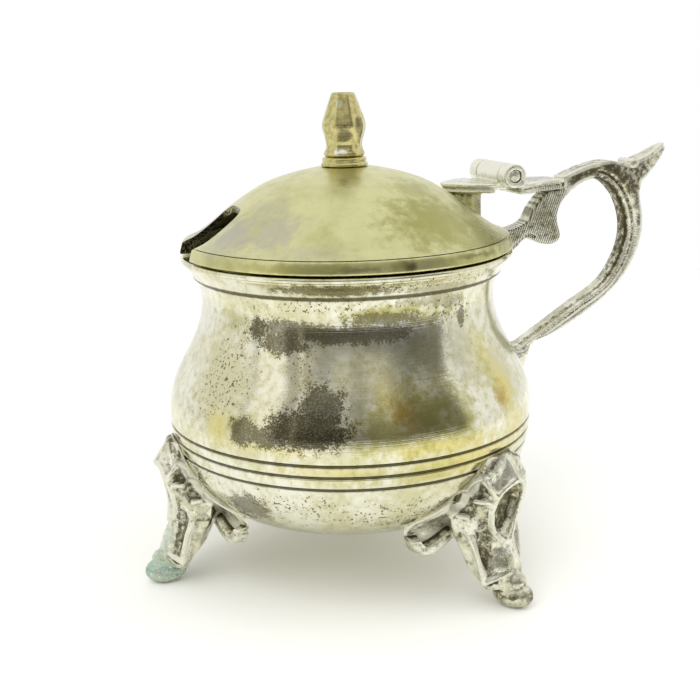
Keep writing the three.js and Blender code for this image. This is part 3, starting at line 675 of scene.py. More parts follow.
def joined(a, b, radius):
    """Two solids run together with a fillet."""
    share = np.clip(0.5 + 0.5 * (b - a) / radius, 0, 1)
    return b + (a - b) * share - radius * share * (1 - share)


def common(a, b, radius):
    """What two solids share, with its edge rounded."""
    return -joined(-a, -b, radius)


def rod(grid, route, radii):
    """Distance to a round bar along a route, whose radius may change from point to point."""
    nearest = np.inf
    radii = np.broadcast_to(radii, len(route))
    for start, end, r0, r1 in zip(route, route[1:], radii, radii[1:]):
        step = np.subtract(end, start)
        offset = [axis - value for axis, value in zip(grid, start)]
        along = sum(part * way for part, way in zip(offset, step)) / max(float(step @ step), 1e-9)
        along = np.clip(along, 0, 1)
        gap = np.sqrt(sum((part - along * way) ** 2 for part, way in zip(offset, step)))
        nearest = np.minimum(nearest, gap - (r0 + (r1 - r0) * along))
    return nearest


def ball(grid, centre, radii):
    """Distance, nearly, to an egg shape."""
    offset = [axis - value for axis, value in zip(grid, centre)]
    span = np.sqrt(sum((part / r) ** 2 for part, r in zip(offset, radii)))
    slope = np.sqrt(sum((part / r**2) ** 2 for part, r in zip(offset, radii)))
    return span * (span - 1) / np.maximum(slope, 1e-6)


def block_grid(low, high, step):
    """Coordinates of a block of evenly spaced points, as three arrays that broadcast together."""
    lines = [np.arange(a, b + step, step) for a, b in zip(low, high)]
    return lines[0][:, None, None], lines[1][None, :, None], lines[2][None, None, :]


def sampled(field, places):
    """The field's value between its points, at places counted in steps."""
    limit = np.array(field.shape) - 1.001
    places = np.clip(places, 0, limit)
    base = places.astype(int)
    share = places - base
    total = 0
    for corner in np.ndindex(2, 2, 2):
        weight = np.prod(np.where(corner, share, 1 - share), axis=1)
        total = total + weight * field[tuple((base + corner).T)]
    return total


def slope_of(field, places):
    """The direction in which the field grows at some places."""
    steps = np.eye(3) * 0.5
    slope = np.stack([sampled(field, places + s) - sampled(field, places - s) for s in steps], axis=1)
    return slope / np.maximum(np.linalg.norm(slope, axis=1), 1e-9)[:, None]


def cast(name, field, grid, step, seed, tarnish=0.0):
    """A casting with the sand's grain on it: a closed skin round the part of a block where the field is
    below zero, in metres about the axis. Each point carries how hollow and how sharp the casting is
    there, how far it faces up, and how much tarnish and painted shade it was given; less than none is
    a painted highlight."""
    field = field + grain(field.shape, step, seed) * size("pot_castings", "grain")
    cells = np.array(field.shape) - 1
    count = int(np.prod(cells))
    total = np.zeros((3, count))
    hits = np.zeros(count)
    rings = []
    # A face across each edge of the block that the skin crosses, and a point in each of its four cells
    for axis in range(3):
        u, v = (axis + 1) % 3, (axis + 2) % 3
        low = np.take(field, range(cells[axis]), axis=axis)
        high = np.take(field, range(1, cells[axis] + 1), axis=axis)
        edge = np.argwhere((low < 0) != (high < 0))
        edge = edge[(edge[:, u] > 0) & (edge[:, v] > 0) & (edge[:, u] < cells[u]) & (edge[:, v] < cells[v])]
        first, last = low[tuple(edge.T)], high[tuple(edge.T)]
        crossing = edge.astype(float)
        crossing[:, axis] += first / (first - last)
        ring = []
        for du, dv in ((0, 0), (-1, 0), (-1, -1), (0, -1)):
            cell = edge.copy()
            cell[:, u] += du
            cell[:, v] += dv
            index = np.ravel_multi_index(cell.T, cells)
            ring.append(index)
            hits += np.bincount(index, minlength=count)
            for k in range(3):
                total[k] += np.bincount(index, crossing[:, k], minlength=count)
        ring = np.stack(ring, axis=1)
        rings.append(np.where((first < 0)[:, None], ring, ring[:, ::-1]))
    used = np.flatnonzero(hits)
    number = np.full(count, -1)
    number[used] = np.arange(len(used))
    faces = number[np.concatenate(rings)]
    places = (total[:, used] / hits[used]).T
    for _ in range(2):
        places = places - sampled(field, places)[:, None] / step * slope_of(field, places)
    outward = slope_of(field, places)
    marks = {}
    for label, distances in {"hollow": (0.5, 1.3), "edge": (-0.45, -1.0)}.items():
        near = [1 - sampled(field, places + outward * d / step) / d for d in distances]
        marks[label] = np.clip(np.mean(near, axis=0), 0, 1)
    marks["rubbed"] = np.clip(outward[:, 2], 0, 1)
    # Tarnish together with painted shade; below zero it stands for a painted highlight
    marks["tarnish"] = sampled(np.broadcast_to(tarnish, field.shape), places)
    origin = np.array([axis.ravel()[0] for axis in grid])
    mesh = bpy.data.meshes.new(name)
    mesh.from_pydata((origin + places * step) * MM, [], faces.tolist())
    for label, values in marks.items():
        mesh.attributes.new(label, "FLOAT", "POINT").data.foreach_set("value", values.astype(np.float32))
    mesh.validate()
    return mesh


def grain(shape, step, seed):
    """Even random unevenness from minus one to one, with lumps about a millimetre wide."""
    rng = np.random.default_rng(seed)
    lumps = rng.uniform(-1, 1, [int(n * step / 0.8) + 3 for n in shape])
    index = [np.linspace(0, m - 1.01, n) for n, m in zip(shape, lumps.shape)]
    for axis, line in enumerate(index):
        base = line.astype(int)
        share = (line - base).reshape([-1 if k == axis else 1 for k in range(3)])
        lumps = np.take(lumps, base, axis) * (1 - share) + np.take(lumps, base + 1, axis) * share
    return lumps


def bowl_line():
    """The bowl's outer wall as an even line of radius and height."""
    return faired(smooth(bowl_knots, 24), 60)


def wall_gap(x, y, z):
    """Distance outside the bowl and its moulding, for castings soldered to them. Beside the lid the
    wall stands out a little more, so that the lid turns free."""
    lid_room = [(27.7, 54.3), (27.7, 70.0)]
    line = np.array([*bowl_line()[:-1], *[p for p in moulding_outer if p[1] > 50.8], *lid_room])
    heights = np.linspace(line[0, 1], 60, 500)
    radii = np.interp(heights, line[:, 1], line[:, 0])
    slope = np.interp(z, heights, np.gradient(radii, heights))
    return (np.hypot(x, y) - np.interp(z, heights, radii)) / np.sqrt(1 + np.minimum(slope**2, 9))


def soldered(body, grid):
    """A casting cut back to the wall that it is soldered to, less the seam."""
    return common(body, -wall_gap(*grid) - SEAM, 0.1)


def move_to_axis(mesh):
    """Moves a mesh that was laid out about the bowl's axis to its place in the frame."""
    mesh.transform(Matrix.Translation((AXIS_X, 0, 0)))
    return mesh


def leg_field(x, side, z):
    """Distance to the leg, whose cross-section changes from height to height."""
    heights = np.array([height for height, _ in leg_sections])[::-1]
    corners = np.array([corners for _, corners in leg_sections], float)[::-1]
    body = np.empty(np.broadcast_shapes(x.shape, side.shape, z.shape))
    for k, height in enumerate(z.ravel()):
        half = np.array([[np.interp(height, heights, corners[:, i, j]) for j in (0, 1)] for i in range(5)])
        whole = np.array([*half, (half[4, 0], -half[4, 1]), *(half[3:0:-1] * (1, -1))])
        body[:, :, k] = outline_distance(x[:, :, 0], side[:, :, 0], whole) - LEG_ROUNDING
    body = np.maximum(body, heights[0] - z)
    return np.maximum(body, z - LEG_TOP)


def mirrored(half):
    """The whole outline of which one half is given, from the middle line round to it again."""
    half = smooth(half, 4)
    return np.array([*half, *(half[-2:0:-1] * (-1, 1))])


def both_sides(half):
    """The whole outline of a hinge leaf of which one half is given."""
    return np.array([*half, *[(u, -v) for u, v in half[::-1] if v]])


def foot_mesh():
    """One foot along +X: a leaf against the bowl with a gutter along its lower edge, a broad leg with a
    framed almond hollow, two scoops and a channel down each side, and a rounded toe."""
    step = size("pot_castings", "foot_step")
    thicker = size("pot_castings", "ridge") / RIDGE
    grid = block_grid((21.2, -13.3, -0.6), (37.2, 13.3, 25.6), step)
    x, y, z = grid
    side = np.abs(y)
    half = (x, side, z)
    leaf = smooth(leaf_face, 6)
    radius = np.interp(z, leaf[:, 1], leaf[:, 0])
    around = np.hypot(x, y)
    front = outline_distance(side, z, mirrored(leaf_outline))
    # A flat lip turned out along the lower edge, and a groove along the upper one
    lip = np.clip((front + 1.8) / 0.35, 0, 1) * np.clip((12.8 - z) / 0.5, 0, 1)
    hem = np.clip(1 - np.abs(front + 1.0) / 0.5, 0, 1) * np.clip(z - 13.4, 0, 1)
    radius = radius + 1.4 * lip - 0.25 * hem
    sheet = common(common((around - radius) * 0.85, front, 0.4), 23.4 - around, 0.3)
    body = joined(sheet, leg_field(x, side, z), 0.9)
    # The almond hollow in front, beside which nothing is cut, and the shallow cell on each side above it
    hollow = np.clip(-outline_distance(side, z, mirrored(almond)) / 0.9, 0, 1)
    crest = np.interp(z, *np.transpose(leg_crest))
    body = common(body, x - crest + 1.6 * hollow**0.7 - 3 * (hollow == 0), 0.2)
    dish = np.clip(-outline_distance(side, z, top_cell) / 1.1, 0, 1)
    body = body + 0.3 * dish * (x > 29.5)
    scooped = 0.0
    for route, radii in foot_scoops:
        gap = rod(half, route, radii)
        body = common(body, -gap, 0.25)
        scooped = np.maximum(scooped, np.clip(1.2 - gap / 0.35, 0, 1))
    for route, radii in foot_ridges:
        body = joined(body, rod(half, route, np.array(radii) * thicker), 0.25)
    toe = joined(ball(half, TOE, (3.55, 2.5, 2.2)), ball(half, (32.9, 0, 4.0), (2.6, 2.2, 1.9)), 0.12)
    body = soldered(joined(body, toe, 0.3), grid)
    body = common(body, -z, 0.15)
    # Tarnish and painted shade in the gutter, the scoops and the almond and along the leaf's upper
    # edge; a dark ring round the toe; a painted highlight on the toe's top, as less than no tarnish
    gutter = np.clip((front + 2.9) / 0.5, 0, 1) * (1 - lip) * np.clip((13.4 - z) / 1.2, 0, 1)
    toe_highlight = np.clip((z - 2.4) / 0.8, 0, 1) * np.clip((6.2 - z) / 1.0, 0, 1) * (x > 32.6)
    rim = np.clip((front + 1.6) / 0.4, 0, 1) * np.clip(z - 13.4, 0, 1) * (around < radius + 0.3)
    ring = np.exp(-(((z - 2.0 - 0.25 * (x - TOE[0])) / 0.35) ** 2)) * (x > 31.5)
    tarnish_and_shade = np.maximum(np.maximum(0.7 * scooped, 0.8 * hollow * (x > 29)), np.maximum(gutter, 0.75 * rim))
    tarnish = np.maximum(tarnish_and_shade + 0.25 * dish - 0.5 * toe_highlight, 0.9 * ring)
    return cast("foot_pattern", body, grid, step, 7, tarnish)


def handle_outline():
    """The handle's edge as one closed outline."""
    runs = [
        handle_tail, smooth(handle_back, 5), smooth(spur_back, 3), smooth(spur_top, 2),
        smooth(handle_top, 5), handle_step, smooth(bracket_left, 4), bracket_foot,
        smooth(bracket_right, 5), smooth(handle_inside, 6), [(28.2, 34.4)],
    ]
    return np.concatenate([np.asarray(run, float) for run in runs])


def handle_mesh():
    """The scroll with a beaded inner edge, its spur, and the hinge's bracket, in one casting."""
    step = size("pot_castings", "handle_step")
    grid = block_grid((23.4, -2.9, 29.4), (60.5, 2.9, 69.8), step)
    x, y, z = grid
    flat_x, flat_z = x[:, 0, :], z[0, :, :]
    edge = outline_distance(flat_x, flat_z, handle_outline())
    inner = outline_distance(flat_x, flat_z, smooth(handle_inside, 6)[6:], closed=False)
    # Half the thickness: a narrow inner face, a bead beside it, a groove and a gently crowned flank
    narrow = 0.9 - 0.25 * np.clip((45 - flat_x) / 10, 0, 1)
    bead = narrow + (2.15 - narrow) * np.sqrt(np.clip(inner / 1.0, 0, 1))
    line = 0.5 * np.exp(-((inner - 1.2) / 0.22) ** 2)
    flank = 0.2 * np.clip((inner - 1.4) / 0.8, 0, 1) - 0.25 * np.clip((inner - 2.2) / 2.0, 0, 1) ** 2
    moulded = np.maximum(np.clip((flat_x - 44.5) / 2, 0, 1), flat_z < 50)
    thick = (HANDLE_HALF_WIDTH - 0.3) * (1 - moulded) + (bead - line + flank) * moulded
    # The spur and the tail run out thinner
    thick = thick - 1.35 * np.clip((flat_x - 54.5) / 5.2, 0, 1) ** 1.5
    thick = thick - 0.7 * np.clip((34.6 - flat_z) / 4.4, 0, 1) * (flat_x < 36) * (flat_z < 40)
    body = common(edge[:, None, :], np.abs(y) - thick[:, None, :], 0.42)
    knob = rod(grid, [(52.55, -1.9, 65.95), (52.55, 1.9, 65.95)], 0.72)
    dip = rod(grid, [(51.2, -3.0, 66.75), (51.2, 3.0, 66.75)], 0.75)
    body = joined(common(body, -dip, 0.3), knob, 0.2)
    # A curl scratched in both flanks of the bracket
    curl = outline_distance(flat_x, flat_z, bracket_curl, closed=False)
    scratch = np.maximum(curl - 0.2, -1)[:, None, :]
    body = common(body, -np.maximum(scratch, (HANDLE_HALF_WIDTH - 0.75) - np.abs(y)), 0.12)
    body = soldered(body, grid)
    # Painted shade on the inner face and on the flanks above the finger's place, laid on as tarnish
    inside = 0.75 * np.clip(1.5 - inner / 0.45, 0, 1) * (moulded > 0)
    inside = inside * (0.25 + 0.75 * np.clip((flat_z - 43.0) / 5.0, 0, 1))
    upper = 0.7 * np.clip((flat_z - 59.0) / 3.0, 0, 1) * np.clip((flat_x - 39.0) / 2.0, 0, 1)
    upper = upper * (1 - 0.6 * np.clip((flat_x - 48.0) / 4.0, 0, 1))
    return move_to_axis(cast("handle", body, grid, step, 11, np.maximum(inside, upper)[:, None, :]))


def about_pin(grid, radius):
    """Distance outside a round bar on the hinge's axis."""
    return np.hypot(grid[0] - HINGE_X, grid[2] - HINGE_Z) - radius


def knuckle(grid, half):
    """Distance to a round barrel on the hinge's axis."""
    return common(about_pin(grid, KNUCKLE_RADIUS), np.abs(grid[1]) - half, 0.22)


def leaf_plate(grid, half_outline, top, thickness):
    """A leaf with a moulded edge: a top plate, a recess and a lower lip, standing in by a step."""
    x, y, z = grid
    edge = outline_distance(x[:, :, 0], y[:, :, 0], both_sides(half_outline))[:, :, None]
    upper = common(edge, np.abs(z - top + 0.3) - 0.3, 0.2)
    middle = np.maximum(edge + LEAF_STEP, np.abs(z - top + thickness / 2) - thickness / 2)
    lower = common(edge + LEAF_STEP * 0.35, np.abs(z - top + thickness - 0.22) - 0.22, 0.15)
    return joined(joined(upper, middle, 0.1), lower, 0.1)


def lid_leaf_mesh():
    """The leaf on the lid with its web down to the dome and the middle knuckle."""
    step = size("pot_castings", "hinge_step")
    grid = block_grid((16.2, -7.7, 57.6), (29.6, 7.7, 67.6), step)
    x, y, z = grid
    plate = leaf_plate(grid, lid_leaf, LID_LEAF_TOP, 1.5)
    web_half = [(u + 0.45, max(v - 0.45, 0)) for u, v in lid_leaf if u < 22]
    web_half = [(22.0, web_half[0][1] + 0.6), *web_half]
    web = outline_distance(x[:, :, 0], y[:, :, 0], both_sides(web_half))[:, :, None]
    web = common(web, np.maximum(z - LID_LEAF_TOP + 0.5, 57.8 - z), 0.2)
    tongue = np.maximum(np.abs(x - HINGE_X + 1.7) - 1.7, np.abs(y) - MIDDLE_HALF)
    tongue = common(tongue, np.abs(z - LID_LEAF_TOP + 0.6) - 0.6, 0.15)
    body = joined(joined(joined(plate, web, 0.4), tongue, 0.3), knuckle(grid, MIDDLE_HALF), 0.7)
    # Behind the dome there is room only for the middle knuckle
    body = common(body, np.where(x > 24, np.abs(y) - MIDDLE_HALF, -1.0), 0.05)
    body = np.maximum(body, -about_pin(grid, PIN_RADIUS + PIN_PLAY))
    dome = faired(smooth(dome_knots, 12), 20)[::-1]
    height = np.interp(np.hypot(x, y), dome[:, 0], dome[:, 1])
    body = np.maximum(body, (height - 0.25 - z) * 0.8)
    return move_to_axis(cast("hinge_leaf_lid", body, grid, step, 13))


def pot_leaf_mesh():
    """The leaf on the handle, whose end curls over the pin as the two outer knuckles."""
    step = size("pot_castings", "hinge_step")
    grid = block_grid((24.6, -7.8, 61.6), (39.4, 7.8, 67.7), step)
    x, y, z = grid
    body = joined(leaf_plate(grid, pot_leaf, POT_LEAF_TOP, 1.7), knuckle(grid, HINGE_HALF), 0.5)
    # Room for the middle knuckle and for its tongue in front
    between = np.abs(y) - MIDDLE_HALF - 0.12
    room = np.maximum(about_pin(grid, KNUCKLE_RADIUS + 0.25), between)
    front = np.maximum(np.maximum(x - HINGE_X - 0.9, z - HINGE_Z), between)
    body = np.maximum(body, -np.minimum(room, front))
    body = np.maximum(body, -about_pin(grid, PIN_RADIUS + PIN_PLAY))
    # The slit at each end where the curled strip meets itself
    ends = [(HINGE_X + 0.9, 0, HINGE_Z + 0.7), (HINGE_X + 0.95, 0, HINGE_Z - 0.5)]
    slit = np.maximum(rod((x, 0 * y, z), ends, 0.1), HINGE_HALF - 0.5 - np.abs(y))
    body = common(body, -slit, 0.08)
    return move_to_axis(cast("hinge_leaf_handle", body, grid, step, 17))


def notched(mesh, name):
    """A turned part of the lid with the spoon notch cut out of it."""
    half = size("pot_lid", "notch_half")
    corner = size("pot_lid", "notch_corner")
    outline = [(-40, -half), (-40, half)]
    for start, middle_y in ((90, half - corner), (0, corner - half)):
        for step in range(NOTCH_STEPS + 1):
            turn = math.radians(start - step * 90 / NOTCH_STEPS)
            outline.append((
                NOTCH_INNER_X - corner + corner * math.cos(turn), middle_y + corner * math.sin(turn),
            ))
    shape = bmesh.new()
    corners = [shape.verts.new((x * MM + AXIS_X, y * MM, 50 * MM)) for x, y in outline]
    top = bmesh.ops.extrude_face_region(shape, geom=[shape.faces.new(corners)])["geom"]
    raised = [part for part in top if isinstance(part, bmesh.types.BMVert)]
    bmesh.ops.translate(shape, vec=(0, 0, 25 * MM), verts=raised)
    bmesh.ops.recalc_face_normals(shape, faces=shape.faces)
    cutter = put_in(name + "_cutter", mesh_of(name + "_cutter", shape))
    whole = put_in(name + "_whole", mesh)
    cut = whole.modifiers.new("Notch", "BOOLEAN")
    cut.object = cutter
    cut.solver = "EXACT"
    made = evaluated(whole, cutter)
    # The cut faces take the piece's own material, and are marked for the painted shade on them
    own = next(material for material in made.materials if material)
    sawn_shade = np.array([made.materials[face.material_index] != own for face in made.polygons], np.float32)
    made.attributes.new("sawn_shade", "FLOAT", "FACE").data.foreach_set("value", sawn_shade)
    made.materials.clear()
    made.materials.append(own)
    made.polygons.foreach_set("material_index", np.zeros(len(made.polygons), np.int32))
    return made


def empty_tree(owner):
    """The node tree of a material or a world, with nothing in it yet."""
    owner.use_nodes = True
    owner.node_tree.nodes.clear()
    return owner.node_tree


def new_material(name):
    """A material with an empty tree, and its point in millimetres about the pot's axis."""
    material = bpy.data.materials.new(name)
    tree = empty_tree(material)
    seen = add_node(tree, "ShaderNodeTexCoord", out="Object")
    point = add_node(
        tree, inputs={"Vector": seen, "Location": (AXIS_X, 0, 0), "Scale": (MM, MM, MM)}, **PLACED
    )
    return material, tree, point


def speckle(tree, point, width, detail=4.0, stretch=(1, 1, 1), offset=0.0):
    """Even mottling from 0 to 1 with lumps of about one width in millimetres."""
    placed = add_node(
        tree, "ShaderNodeMapping", {"Vector": point, "Location": (offset, offset, offset), "Scale": stretch}
    )
    noise = {"Vector": placed, "Scale": 1 / width, "Detail": detail, "Roughness": 0.62}
    return add_node(tree, "ShaderNodeTexNoise", noise)


def stains(tree, point, mottle, places, raggedness=2.2, soft=0.45):
    """Where the listed stains lie, from 0 to 1. Each has a radius, an angle round the pot in degrees and
    a height for its middle, then its half width, half height and strength. Their edges follow the
    mottling, and fade out over a share of the stain."""
    noise = {"Vector": point, "Scale": 0.3, "Detail": 5.0, "Roughness": 0.65}
    stray = add_node(tree, "ShaderNodeTexNoise", noise, out="Color")
    centred = add_node(tree, VECTOR, [stray, (0.5, 0.5, 0.5)], operation="SUBTRACT")
    pushed = add_node(tree, VECTOR, {0: centred, "Scale": raggedness}, operation="SCALE")
    strayed = add_node(tree, VECTOR, [point, pushed], operation="ADD")
    frayed = add_node(tree, inputs=[mottle, 0.3, 0.7, -0.2, 0.2], **RAMP)
    total = 0.0
    for radius, angle, height, width, tall, strength in places:
        turn = math.radians(angle)
        centre = (radius * math.cos(turn), radius * math.sin(turn), height)
        placed = add_node(tree, inputs={
            "Vector": strayed, "Location": centre, "Rotation": (0, 0, turn), "Scale": (12, width, tall),
        }, **PLACED)
        ragged = add_node(tree, inputs=[add_node(tree, inputs=[placed], **SPOT), frayed], **PLUS)
        stain = add_node(tree, inputs=[ragged, 0.12, 0.12 + soft, 0.0, strength], **RAMP)
        total = add_node(tree, inputs=[total, stain], **MOST)
    return total


def end_material(tree, colour_now, metallic, rough, height, strength):
    """Makes the metal of its colour, roughness and fine relief, whose height is in tenths of a
    millimetre."""
    bump = {"Height": height, "Strength": strength, "Distance": 0.0001}
    surface = add_node(tree, "ShaderNodeBsdfPrincipled", {
        "Base Color": colour_now, "Metallic": metallic, "Roughness": rough,
        "Normal": add_node(tree, "ShaderNodeBump", bump),
    })
    add_node(tree, "ShaderNodeOutputMaterial", [surface])


def silver_material(name):
    """Electroplated silver, spun and burnished, then tarnished: a pale mirror under films that run
    from cream through straw and olive to grey and brown, dark pits, and black packed in the grooves."""
    material, tree, point = new_material(name)
    cloud = speckle(tree, point, 9.0, 5.0)
    mottle = speckle(tree, point, 1.3, 7.0, offset=31.0)
    pits = speckle(tree, point, 0.5, 2.0, offset=77.0)
    lathe = speckle(tree, point, 1.0, 2.0, stretch=(0.05, 0.05, 7.0))
    grains = speckle(tree, point, 0.28, 2.0, offset=90.0)
    creamy = add_node(tree, inputs=[mottle, 0.6, cloud], **WEIGHED)
    creamy = add_node(tree, inputs=[creamy, 0.6, 0.95], **RAMP)
    now = add_node(tree, inputs=[creamy, paint("silver"), paint("cream")], **LAYER)
    for label, places in silver_films.items():
        film = stains(tree, point, mottle, places, soft=0.75)
        now = add_node(tree, inputs=[film, now, paint(label)], **LAYER)
    # Brown patches, granular at their edges
    granular = add_node(tree, inputs=[grains, 0.3, 0.7, 0.7, 1.3], **RAMP)
    granular = add_node(tree, inputs=[mottle, granular], **TIMES)
    heavy = stains(tree, point, granular, silver_patches, 1.6, 0.3)
    uneven = add_node(tree, inputs=[grains, 0.3, 0.55, 0.7, 1.0], **RAMP)
    heavy = add_node(tree, inputs=[heavy, uneven], **TIMES)
    now = add_node(tree, inputs=[heavy, now, paint("brown")], **LAYER)
    # Pits, crowded where the plate is poor
    poor = stains(tree, point, mottle, silver_pits, soft=0.7)
    level = add_node(tree, inputs=[poor, 0.0, 1.0, 0.74, 0.585], **RAMP)
    deep = add_node(tree, MATH, [pits, level], operation="SUBTRACT")
    pit = add_node(tree, inputs=[deep, 0.0, 0.04], **RAMP)
    now = add_node(tree, inputs=[add_node(tree, inputs=[pit, 0.9], **TIMES), now, paint("brown")], **LAYER)
    # A haze of olive grains
    grime = add_node(tree, inputs=[grains, 0.62, 0.76, 0.0, 0.4], **RAMP)
    cloudy = add_node(tree, inputs=[cloud, 0.35, 0.6], **RAMP)
    grime = add_node(tree, inputs=[grime, cloudy], **TIMES)
    now = add_node(tree, inputs=[grime, now, paint("olive")], **LAYER)
    # Black packed in the grooves
    packed = add_node(tree, attribute_name="hollow", **CARRIED)
    packed = add_node(tree, inputs=[mottle, 0.3, packed], **WEIGHED)
    packed = add_node(tree, inputs=[packed, 0.35, 1.0, 0.0, 0.88], **RAMP)
    now = add_node(tree, inputs=[packed, now, paint("black")], **LAYER)
    rough = add_node(tree, inputs=[mottle, 0.35, 0.75, 0.06, 0.2], **RAMP)
    for dull in (pit, packed):
        rough = add_node(tree, inputs=[dull, 0.3, rough], **WEIGHED)
    height = lathe
    for part, share in ((grains, 0.3), (mottle, 0.8), (pit, -0.8)):
        height = add_node(tree, inputs=[part, share, height], **WEIGHED)
    end_material(tree, now, 1.0, rough, height, 0.16)
    return material


def gilt_material(name):
    """Thin gilding over silver plate, satin from handling: greenish gold, cloudy, and rubbed through
    to grey beside the notch, with short scratches. Some of its stains are painted reflections of dark
    things round it, and the notch's cut faces carry painted shade."""
    material, tree, point = new_material(name)
    cloud = speckle(tree, point, 11.0, 4.0, offset=5.0)
    mottle = speckle(tree, point, 1.8, 6.0, offset=19.0)
    scratches = speckle(tree, point, 0.5, 2.0, stretch=(0.12, 1.0, 1.0), offset=40.0)
    grains = speckle(tree, point, 0.3, 3.0, offset=63.0)
    dull = add_node(tree, inputs=[cloud, 0.42, 0.8, 0.12, 0.8], **RAMP)
    now = add_node(tree, inputs=[dull, paint("gilt"), paint("gilt_dull")], **LAYER)
    for label, places in gilt_places.items():
        stain = stains(tree, point, mottle, places, soft=0.75)
        now = add_node(tree, inputs=[stain, now, paint(label)], **LAYER)
    grime = add_node(tree, inputs=[grains, 0.56, 0.8, 0.0, 0.7], **RAMP)
    now = add_node(tree, inputs=[grime, now, paint("olive")], **LAYER)
    # Painted shade on the cut faces of the notch, laid as mottled black tarnish
    sawn_shade = add_node(tree, attribute_name="sawn_shade", **CARRIED)
    mottled = add_node(tree, inputs=[grains, 0.42, 0.56, 0.35, 1.0], **RAMP)
    sawn_shade = add_node(tree, inputs=[sawn_shade, mottled], **TIMES)
    now = add_node(tree, inputs=[sawn_shade, now, paint("black")], **LAYER)
    rough = add_node(tree, inputs=[mottle, 0.25, 0.75, 0.24, 0.4], **RAMP)
    end_material(tree, now, 1.0, rough, scratches, 0.16)
    return material


def cast_material(name):
    """Silver plate on sand castings: rubbed bright along the raised lines, and brown to black where
    tarnish and painted shade sit in the hollows, over a fine pebbled skin, with a painted highlight
    where a casting's tarnish is below zero. The bracket bears the marks of a file."""
    material, tree, point = new_material(name)
    mottle = speckle(tree, point, 0.9, 7.0, offset=11.0)
    pebbles = speckle(tree, point, 0.3, 3.0, offset=23.0)
    cloud = speckle(tree, point, 4.0, 5.0, offset=57.0)
    hollow, edge, rubbed, tarnish = [
        add_node(tree, attribute_name=label, **CARRIED) for label in ("hollow", "edge", "rubbed", "tarnish")
    ]
    creamy = add_node(tree, inputs=[cloud, 0.4, 0.6], **RAMP)
    now = add_node(tree, inputs=[creamy, paint("silver"), paint("cream")], **LAYER)
    grey = add_node(tree, inputs=[cloud, 0.8, mottle], **WEIGHED)
    grey = add_node(tree, inputs=[grey, 0.8, 1.1, 0.0, 0.9], **RAMP)
    now = add_node(tree, inputs=[grey, now, paint("mauve")], **LAYER)
    # Tarnish in the hollows and the painted shade that a casting carries, brown at first and then black
    tarnish_and_painted_shade = hollow
    for part, share in ((rubbed, -0.2), (tarnish, 0.55), (pebbles, 0.8), (mottle, 1.6)):
        tarnish_and_painted_shade = add_node(tree, inputs=[part, share, tarnish_and_painted_shade], **WEIGHED)
    for label, levels in (("brown", [1.25, 1.75]), ("black", [1.7, 2.2, 0.0, 0.85])):
        shade = add_node(tree, inputs=[tarnish_and_painted_shade, *levels], **RAMP)
        now = add_node(tree, inputs=[shade, now, paint(label)], **LAYER)
    # Bright raised lines, and a painted highlight where less than no tarnish was given
    bright = add_node(tree, inputs=[edge, 0.12, 0.36], **RAMP)
    broken = add_node(tree, inputs=[mottle, 0.25, 0.5, 0.4, 1.0], **RAMP)
    bright = add_node(tree, inputs=[bright, broken], **TIMES)
    painted_highlight = add_node(tree, inputs=[tarnish, -0.1, -0.35], **RAMP)
    bright = add_node(tree, inputs=[bright, painted_highlight], **MOST)
    now = add_node(tree, inputs=[bright, now, paint("silver")], **LAYER)
    # The marks of a file across the bracket, about 0.4 mm apart
    slanted = add_node(tree, "ShaderNodeMapping", {"Vector": point, "Rotation": (0, math.radians(-20), 0)})
    wave = {"Vector": slanted, "Scale": 0.8, "Distortion": 0.7, "Detail": 1.0}
    marks = add_node(tree, "ShaderNodeTexWave", wave, "Fac", bands_direction="X")
    bracket = {"Vector": point, "Location": (34.5, 0, 57.5), "Scale": (7.5, 9, 8)}
    bracket = add_node(tree, inputs=[add_node(tree, inputs=bracket, **PLACED)], **SPOT)
    bracket = add_node(tree, inputs=[bracket, 0.02, 0.2], **RAMP)
    scored = add_node(tree, inputs=[marks, 0.3, 0.7], **RAMP)
    scored = add_node(tree, inputs=[scored, bracket], **TIMES)
    filled = add_node(tree, inputs=[scored, 0.75], **TIMES)
    now = add_node(tree, inputs=[filled, now, paint("brown")], **LAYER)
    metallic = 1.0
    if name == CAST_GREEN:
        toe = stains(tree, point, mottle, green_places, 1.5)
        crust = add_node(tree, inputs=[pebbles, 0.36, 0.56, 0.25, 1.0], **RAMP)
        crust = add_node(tree, inputs=[toe, crust], **TIMES)
        pale = add_node(tree, inputs=[mottle, 0.45, 0.62, 0.0, 0.8], **RAMP)
        pale = add_node(tree, inputs=[pale, paint("verdigris"), paint("mauve")], **LAYER)
        now = add_node(tree, inputs=[crust, now, pale], **LAYER)
        metallic = add_node(tree, inputs=[crust, 0.2, 0.9, 1.0, 0.15], **RAMP)
    rough = add_node(tree, inputs=[tarnish_and_painted_shade, 1.0, 1.9, 0.14, 0.6], **RAMP)
    height = add_node(tree, inputs=[mottle, 2.0, pebbles], **WEIGHED)
    height = add_node(tree, inputs=[scored, -1.5, height], **WEIGHED)
    end_material(tree, now, metallic, rough, height, 0.5)
    return material


def brass_material(name):
    """Turned and filed yellow metal, once gilt: golden, with brown left in the waist of the bud,
    and painted highlights in silver.
    """
    material, tree, point = new_material(name)
    mottle = speckle(tree, point, 0.9, 5.0, offset=15.0)
    lathe = speckle(tree, point, 0.6, 2.0, stretch=(0.08, 0.08, 5.0))
    dull = add_node(tree, inputs=[mottle, 0.4, 0.7], **RAMP)
    now = add_node(tree, inputs=[dull, paint("brass"), paint("gilt_dull")], **LAYER)
    for label, raggedness, places in brass_places:
        stain = stains(tree, point, mottle, places, raggedness)
        now = add_node(tree, inputs=[stain, now, paint(label)], **LAYER)
    rough = add_node(tree, inputs=[mottle, 0.3, 0.7, 0.1, 0.28], **RAMP)
    end_material(tree, now, 1.0, rough, lathe, 0.2)
    return material


def finish(name):
    """A finish that several pieces share, made once."""
    makers = {SILVER: silver_material, GILT: gilt_material, BRASS: brass_material}
    return bpy.data.materials.get(name) or makers.get(name, cast_material)(name)


